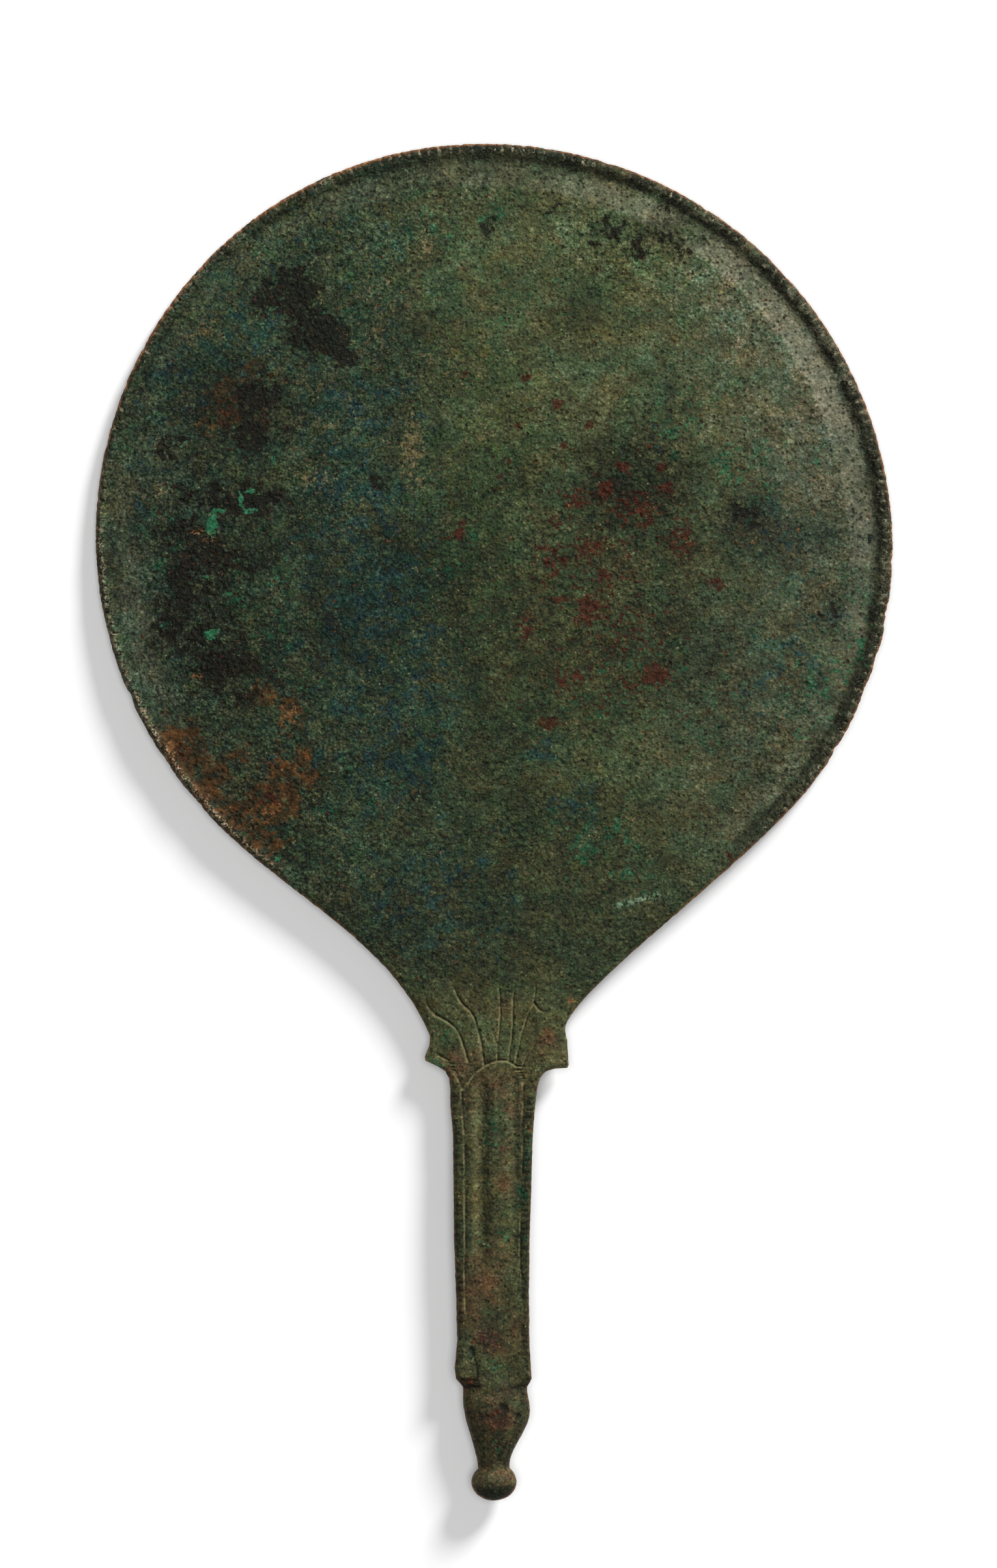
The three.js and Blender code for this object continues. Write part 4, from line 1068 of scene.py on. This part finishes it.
ground = b.blend(0.6, ground, b.blend(1.0, ground, b.blend(lean, (1.06, 0.91, 1.04, 1.0), (0.93, 1.08, 0.95, 1.0)), "MULTIPLY"))
tint = b.math("MULTIPLY", b.attr("green_tint"), b.step(vein, 0.36, 0.60))
ground = b.blend(b.math("MULTIPLY", tint, 0.6), ground, b.blend(1.0, ground, (0.89, 1.09, 0.74, 1.0), "MULTIPLY"))
grey = b.math("MULTIPLY", b.attr("grey_tint"), 0.80)
ground = b.blend(grey, ground, b.blend(1.0, ground, (1.09, 0.98, 1.40, 1.0), "MULTIPLY"))
ground = b.blend(b.attr("cool_tint"), ground, b.blend(1.0, ground, (0.93, 1.05, 1.18, 1.0), "MULTIPLY"))
# the smoother, greyer bevel inside the lip, also lightened as a painted sheen where the band turns towards the lamps
bevel = b.math("MULTIPLY", b.attr("bevel"), b.step(plus(patch, swing(grain, 0.4)), 0.30, 0.55))
ground = b.blend(b.math("MULTIPLY", bevel, 0.62), ground, b.ramp(v, [(0.1, linear(56, 60, 50)), (0.5, linear(90, 92, 79)), (0.9, linear(122, 122, 106))]))
# warm brown-olive of the handle
ground = b.blend(b.math("MULTIPLY", b.attr("handle"), 0.8), ground, b.blend(1.0, ground, (1.08, 0.90, 0.84, 1.0), "MULTIPLY"))
# blue-green copper salts between lighter grains
blue_field = b.noise(2.8, 4.0, 0.62, 18.0)
blue_here = b.step(plus(b.math("MULTIPLY", b.attr("blue"), 0.84), swing(blue_field, 3.0), swing(crust_c, 0.45), swing(crumb_c, 0.35), swing(grain, -0.9)), 0.34, 0.92)
blue_here = b.math("MULTIPLY", blue_here, b.step(b.attr("blue"), 0.0, 0.20))
blue_or_teal = b.step(plus(b.noise(3.6, 3.0, 0.6, 20.0), swing(crust_b, 0.06)), 0.44, 0.56)
blue_col = b.blend(blue_or_teal, b.ramp(v, [(0.0, linear(9, 27, 32)), (0.3, linear(20, 49, 55)), (0.55, linear(41, 74, 73)), (0.85, linear(90, 117, 103))]),
                   b.ramp(v, [(0.0, linear(10, 32, 28)), (0.3, linear(26, 58, 50)), (0.55, linear(47, 84, 70)), (0.85, linear(94, 122, 100))]))
colour = b.blend(b.math("MULTIPLY", blue_here, 0.80), ground, blue_col)
# green bloom, finely broken
green_here = b.step(plus(b.math("MULTIPLY", b.attr("emerald"), 0.74), swing(speck, 1.7), swing(vein, 2.6), swing(crust_b, 0.35), swing(tiny, 0.3)), 0.46, 0.84)
green_here = b.math("MULTIPLY", green_here, b.step(b.attr("emerald"), 0.0, 0.25))
colour = b.blend(b.math("MULTIPLY", green_here, 0.80), colour, b.ramp(v, [(0.1, linear(14, 52, 36)), (0.45, linear(32, 84, 58)), (0.9, linear(80, 136, 102))]))
# brown and rust
brown_here = b.step(plus(b.attr("brown"), swing(break_up, 2.6), swing(coarse_break, 2.0), swing(tiny, 0.6)), 0.44, 0.98)
brown_col = b.ramp(plus(b.math("MULTIPLY", mottle, 0.7), b.math("MULTIPLY", grain, 0.4), b.math("MULTIPLY", b.attr("warmth"), 0.045)),
                   [(0.40, linear(24, 20, 11)), (0.52, linear(44, 34, 18)), (0.62, linear(72, 46, 22)), (0.76, linear(108, 68, 34))])
colour = b.blend(b.math("MULTIPLY", brown_here, 0.85), colour, brown_col)
warm_here = b.math("MULTIPLY", b.attr("warm"), b.step(plus(coarse_break, swing(grain, 0.6)), 0.30, 0.58))
colour = b.blend(b.math("MULTIPLY", warm_here, 0.95), colour, b.blend(1.0, colour, (1.32, 0.74, 0.88, 1.0), "MULTIPLY"))
# smooth black, feathered into the green
black_field = b.noise(4.2, 5.0, 0.62, 21.0)
black_here = b.step(plus(b.attr("black"), swing(break_up, 3.0), swing(black_field, 3.6), swing(tiny, 0.5), swing(crust_b, 0.25)), 0.44, 0.64)
black_here = b.math("MULTIPLY", black_here, b.step(b.attr("black"), 0.02, 0.24))
black_col = b.ramp(plus(b.math("MULTIPLY", grain, 0.6), b.math("MULTIPLY", tiny, 0.4)),
                   [(0.35, linear(7, 8, 5)), (0.52, linear(13, 14, 10)), (0.70, linear(28, 27, 18))])
black_col = b.blend(b.math("MULTIPLY", b.step(b.noise(2.0, 3.0, 0.6, 23.0), 0.46, 0.60), 0.5), black_col, linear(28, 22, 12))
colour = b.blend(b.math("MULTIPLY", black_here, 0.92), colour, black_col)
# dark pores and light grains over everything, with tiny painted glints on crust grains
pores = spots(1.25, 1.0, 0.36, 0.16, b.math("MULTIPLY", rough_zone, 0.30))
pinholes = spots(0.8, 2.0, 0.28, 0.40, b.math("MULTIPLY", rough_zone, 0.25))
warts = spots(1.3, 3.0, 0.36, 0.03, b.math("MULTIPLY", rough_zone, 0.20))
sparkle = b.math("MULTIPLY", b.math("MULTIPLY", b.step(crumb_c, 0.955, 0.97), b.step(crumb, 0.35, 0.75)), b.step(mottle, 0.44, 0.60))
less_black = b.math("SUBTRACT", 1.0, b.math("MULTIPLY", black_here, 0.8))
colour = b.blend(b.math("MULTIPLY", b.math("MULTIPLY", warts, less_black), 0.28), colour, linear(104, 114, 86))
colour = b.blend(b.math("MULTIPLY", pores, 0.62), colour, linear(20, 22, 16))
colour = b.blend(b.math("MULTIPLY", pinholes, 0.7), colour, linear(20, 22, 15))
colour = b.blend(b.math("MULTIPLY", b.math("MULTIPLY", sparkle, less_black), 0.50), colour, linear(142, 138, 108))
# pale tan bloom, finely broken
tan_here = b.step(plus(b.attr("tan"), swing(break_up, 2.6), swing(crumb_b, 0.3), swing(tiny, 0.8)), 0.42, 0.78)
colour = b.blend(b.math("MULTIPLY", tan_here, 0.72), colour, b.ramp(grain, [(0.3, linear(72, 66, 44)), (0.55, linear(112, 102, 72)), (0.75, linear(142, 132, 100))]))
# malachite, cuprite and ochre spots
mal = b.step(plus(b.attr("malachite"), swing(break_up, 1.9), swing(tiny, 0.6)), 0.50, 0.74)
colour = b.blend(b.math("MULTIPLY", mal, 0.9), colour, b.ramp(grain, [(0.3, linear(24, 74, 50)), (0.55, linear(42, 104, 74)), (0.75, linear(68, 134, 100))]))
cup = b.step(plus(b.math("MULTIPLY", b.attr("cuprite"), 1.20), swing(break_up, 3.2), swing(crumb_b, 0.6)), 0.60, 0.67)
colour = b.blend(b.math("MULTIPLY", cup, 0.85), colour, b.ramp(grain, [(0.3, linear(36, 15, 9)), (0.52, linear(60, 25, 16)), (0.72, linear(88, 42, 26))]))
och = b.step(plus(b.attr("ochre"), swing(break_up, 2.4), swing(tiny, 0.8)), 0.46, 0.74)
colour = b.blend(b.math("MULTIPLY", och, 0.75), colour, b.ramp(grain, [(0.3, linear(80, 52, 28)), (0.55, linear(122, 88, 54)), (0.75, linear(160, 132, 92))]))
colour = b.blend(b.math("MULTIPLY", b.attr("pale"), b.step(plus(break_up, swing(tiny, 0.5)), 0.42, 0.62)), colour, linear(120, 146, 122))
# incised lines: painted highlight on the wall facing the key light, painted shade on the wall facing away
colour = b.blend(b.math("MULTIPLY", b.step(b.attr("shaded_wall"), 0.22, 0.85), 0.74), colour, linear(19, 20, 12))
colour = b.blend(b.math("MULTIPLY", b.step(plus(b.attr("lit_wall"), swing(grain, 0.8)), 0.30, 0.92), 0.60), colour, linear(126, 120, 86))
# dark crust on the lip with painted shade in the channel, strongest on the side turned from the key light; rubbed high
# spots and painted highlights in the notches; a painted highlight along the lip's crest; and a thin line of bare
# copper-brown on the arris
dirt_and_shade = b.math("MULTIPLY", plus(b.attr("rim"), b.attr("channel")), b.step(plus(coarse_break, swing(grain, 0.8), swing(tiny, 0.8)), 0.25, 0.52))
colour = b.blend(b.math("MULTIPLY", dirt_and_shade, 0.93), colour, b.ramp(plus(b.math("MULTIPLY", grain, 0.6), b.math("MULTIPLY", tiny, 0.4)), [(0.36, linear(13, 14, 10)), (0.50, linear(28, 29, 22)), (0.62, linear(56, 58, 46)), (0.74, linear(92, 94, 78))]))
# rubbed high spots on the lip are real wear; the lightening in the notches is a painted highlight
wear_and_highlight = b.math("MULTIPLY", plus(b.math("MULTIPLY", b.attr("rim"), proud), b.attr("nick")), b.step(plus(break_up, swing(tiny, 0.6)), 0.42, 0.60))
colour = b.blend(b.math("MULTIPLY", wear_and_highlight, 0.85), colour, b.ramp(grain, [(0.35, linear(96, 94, 74)), (0.6, linear(170, 166, 142))]))
# painted highlight on the lip's crest
glint = b.math("MULTIPLY", b.attr("crest"), b.step(plus(break_up, swing(tiny, 0.6)), 0.50, 0.64))
colour = b.blend(b.math("MULTIPLY", glint, 0.85), colour, b.ramp(grain, [(0.35, linear(140, 104, 76)), (0.6, linear(200, 174, 148)), (0.8, linear(226, 212, 192))]))
bare = b.math("MULTIPLY", b.attr("edge"), b.step(plus(coarse_break, swing(grain, 0.5)), 0.30, 0.48))
colour = b.blend(b.math("MULTIPLY", bare, 0.9), colour, b.ramp(grain, [(0.3, linear(78, 46, 26)), (0.5, linear(140, 88, 52)), (0.7, linear(196, 136, 90))]))

rough = plus(0.50, b.math("MULTIPLY", mottle, 0.34), b.math("MULTIPLY", black_here, -0.08))
rough = b.math("ADD", rough, b.math("MULTIPLY", warts, 0.08), clamp=True)

# micro-relief: crust grains, blisters and pores; height in tenths of a millimetre
smooth_bevel = b.math("SUBTRACT", 1.0, plus(b.math("MULTIPLY", b.attr("bevel"), 0.35), b.math("MULTIPLY", b.attr("handle"), 0.42)))
coarse_h = b.math("MULTIPLY", b.noise(2.2, 4.0, 0.62, 10.0), plus(4.3, b.math("MULTIPLY", rough_zone, 4.8)))
crust_h = b.math("MULTIPLY", crust, plus(1.0, b.math("MULTIPLY", crust_c, 1.5), b.math("MULTIPLY", rough_zone, 1.1)))
crumb_h = b.math("MULTIPLY", crumb, plus(0.45, b.math("MULTIPLY", crumb_b, 0.80)))
h = plus(coarse_h, crust_h, crumb_h, b.math("MULTIPLY", b.noise(0.85, 3.0, 0.65, 11.0), 2.4))
h = b.math("MULTIPLY", plus(h, b.math("MULTIPLY", black_here, -0.25)), smooth_bevel)
h = plus(h, b.math("MULTIPLY", mal, 0.6), b.math("MULTIPLY", warts, 1.1), b.math("MULTIPLY", pores, -1.4), b.math("MULTIPLY", pinholes, -0.9))
bump = b.node("ShaderNodeBump")
bump.inputs["Strength"].default_value = 1.0
bump.inputs["Distance"].default_value = 0.0001
b.link(h, bump.inputs["Height"])

shader = b.node("ShaderNodeBsdfPrincipled")
b.link(colour, shader.inputs["Base Color"])
b.link(rough, shader.inputs["Roughness"])
b.link(bump.outputs[0], shader.inputs["Normal"])
shader.inputs["Metallic"].default_value = 0.0
shader.inputs["Specular IOR Level"].default_value = 0.12
shader.inputs["IOR"].default_value = 1.5
out = b.node("ShaderNodeOutputMaterial")
b.link(shader.outputs[0], out.inputs["Surface"])
me.materials.append(mat)

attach(mirror, "root")
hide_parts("mirror")

# --------------------------------------------------------------------------
# floor, light and camera
# --------------------------------------------------------------------------
floor_mesh = bpy.data.meshes.new("floor")
s = 3.0
floor_mesh.from_pydata([(-s, -s, -0.00002), (s, -s, -0.00002), (s, s, -0.00002), (-s, s, -0.00002)], [], [(0, 1, 2, 3)])
floor = bpy.data.objects.new("floor", floor_mesh)
bpy.context.scene.collection.objects.link(floor)
white = bpy.data.materials.new("floor_white")
f = Tree(white)
fs = f.node("ShaderNodeBsdfDiffuse")
fs.inputs["Color"].default_value = (0.96, 0.96, 0.96, 1)
fo = f.node("ShaderNodeOutputMaterial")
f.link(fs.outputs[0], fo.inputs["Surface"])
floor_mesh.materials.append(white)

world = bpy.data.worlds.new("studio")
bpy.context.scene.world = world
w = Tree(world)
bg = w.node("ShaderNodeBackground")
bg.inputs["Color"].default_value = (1.0, 1.0, 1.0, 1)
bg.inputs["Strength"].default_value = 0.13
wo = w.node("ShaderNodeOutputWorld")
w.link(bg.outputs[0], wo.inputs["Surface"])



def lamp(name, strength, width, elevation, bearing):
    """A distant lamp: strength on a surface facing it, apparent width, height and compass bearing in degrees."""
    light_ = bpy.data.lights.new(name, "SUN")
    light_.energy = strength
    light_.angle = math.radians(width)
    lamp_ = bpy.data.objects.new(name, light_)
    up, round_ = math.radians(elevation), math.radians(bearing)
    toward = Vector((math.cos(up) * math.cos(round_), math.cos(up) * math.sin(round_), math.sin(up)))
    lamp_.rotation_mode = "QUATERNION"
    lamp_.rotation_quaternion = toward.to_track_quat("Z", "Y")
    lamp_.location = toward * 2
    bpy.context.scene.collection.objects.link(lamp_)


lamp("key", 3.15, 15, 26.5, 54)
lamp("overhead", 1.57, 34, 90, 0)

camera = bpy.data.cameras.new("camera")
camera.sensor_width = 36
camera.sensor_fit = "AUTO"
DISTANCE = 1.5
LONG_SIDE = 0.28896
camera.lens = 36 * DISTANCE / LONG_SIDE
camera.clip_start, camera.clip_end = 0.05, 20
view_from = bpy.data.objects.new("camera", camera)
view_from.location = (0.00080, 0.00694, DISTANCE + 0.0034)
bpy.context.scene.collection.objects.link(view_from)
bpy.context.scene.camera = view_from
bpy.context.scene.view_settings.view_transform = "Standard"
bpy.context.scene.view_settings.look = "None"

bpy.context.view_layer.update()
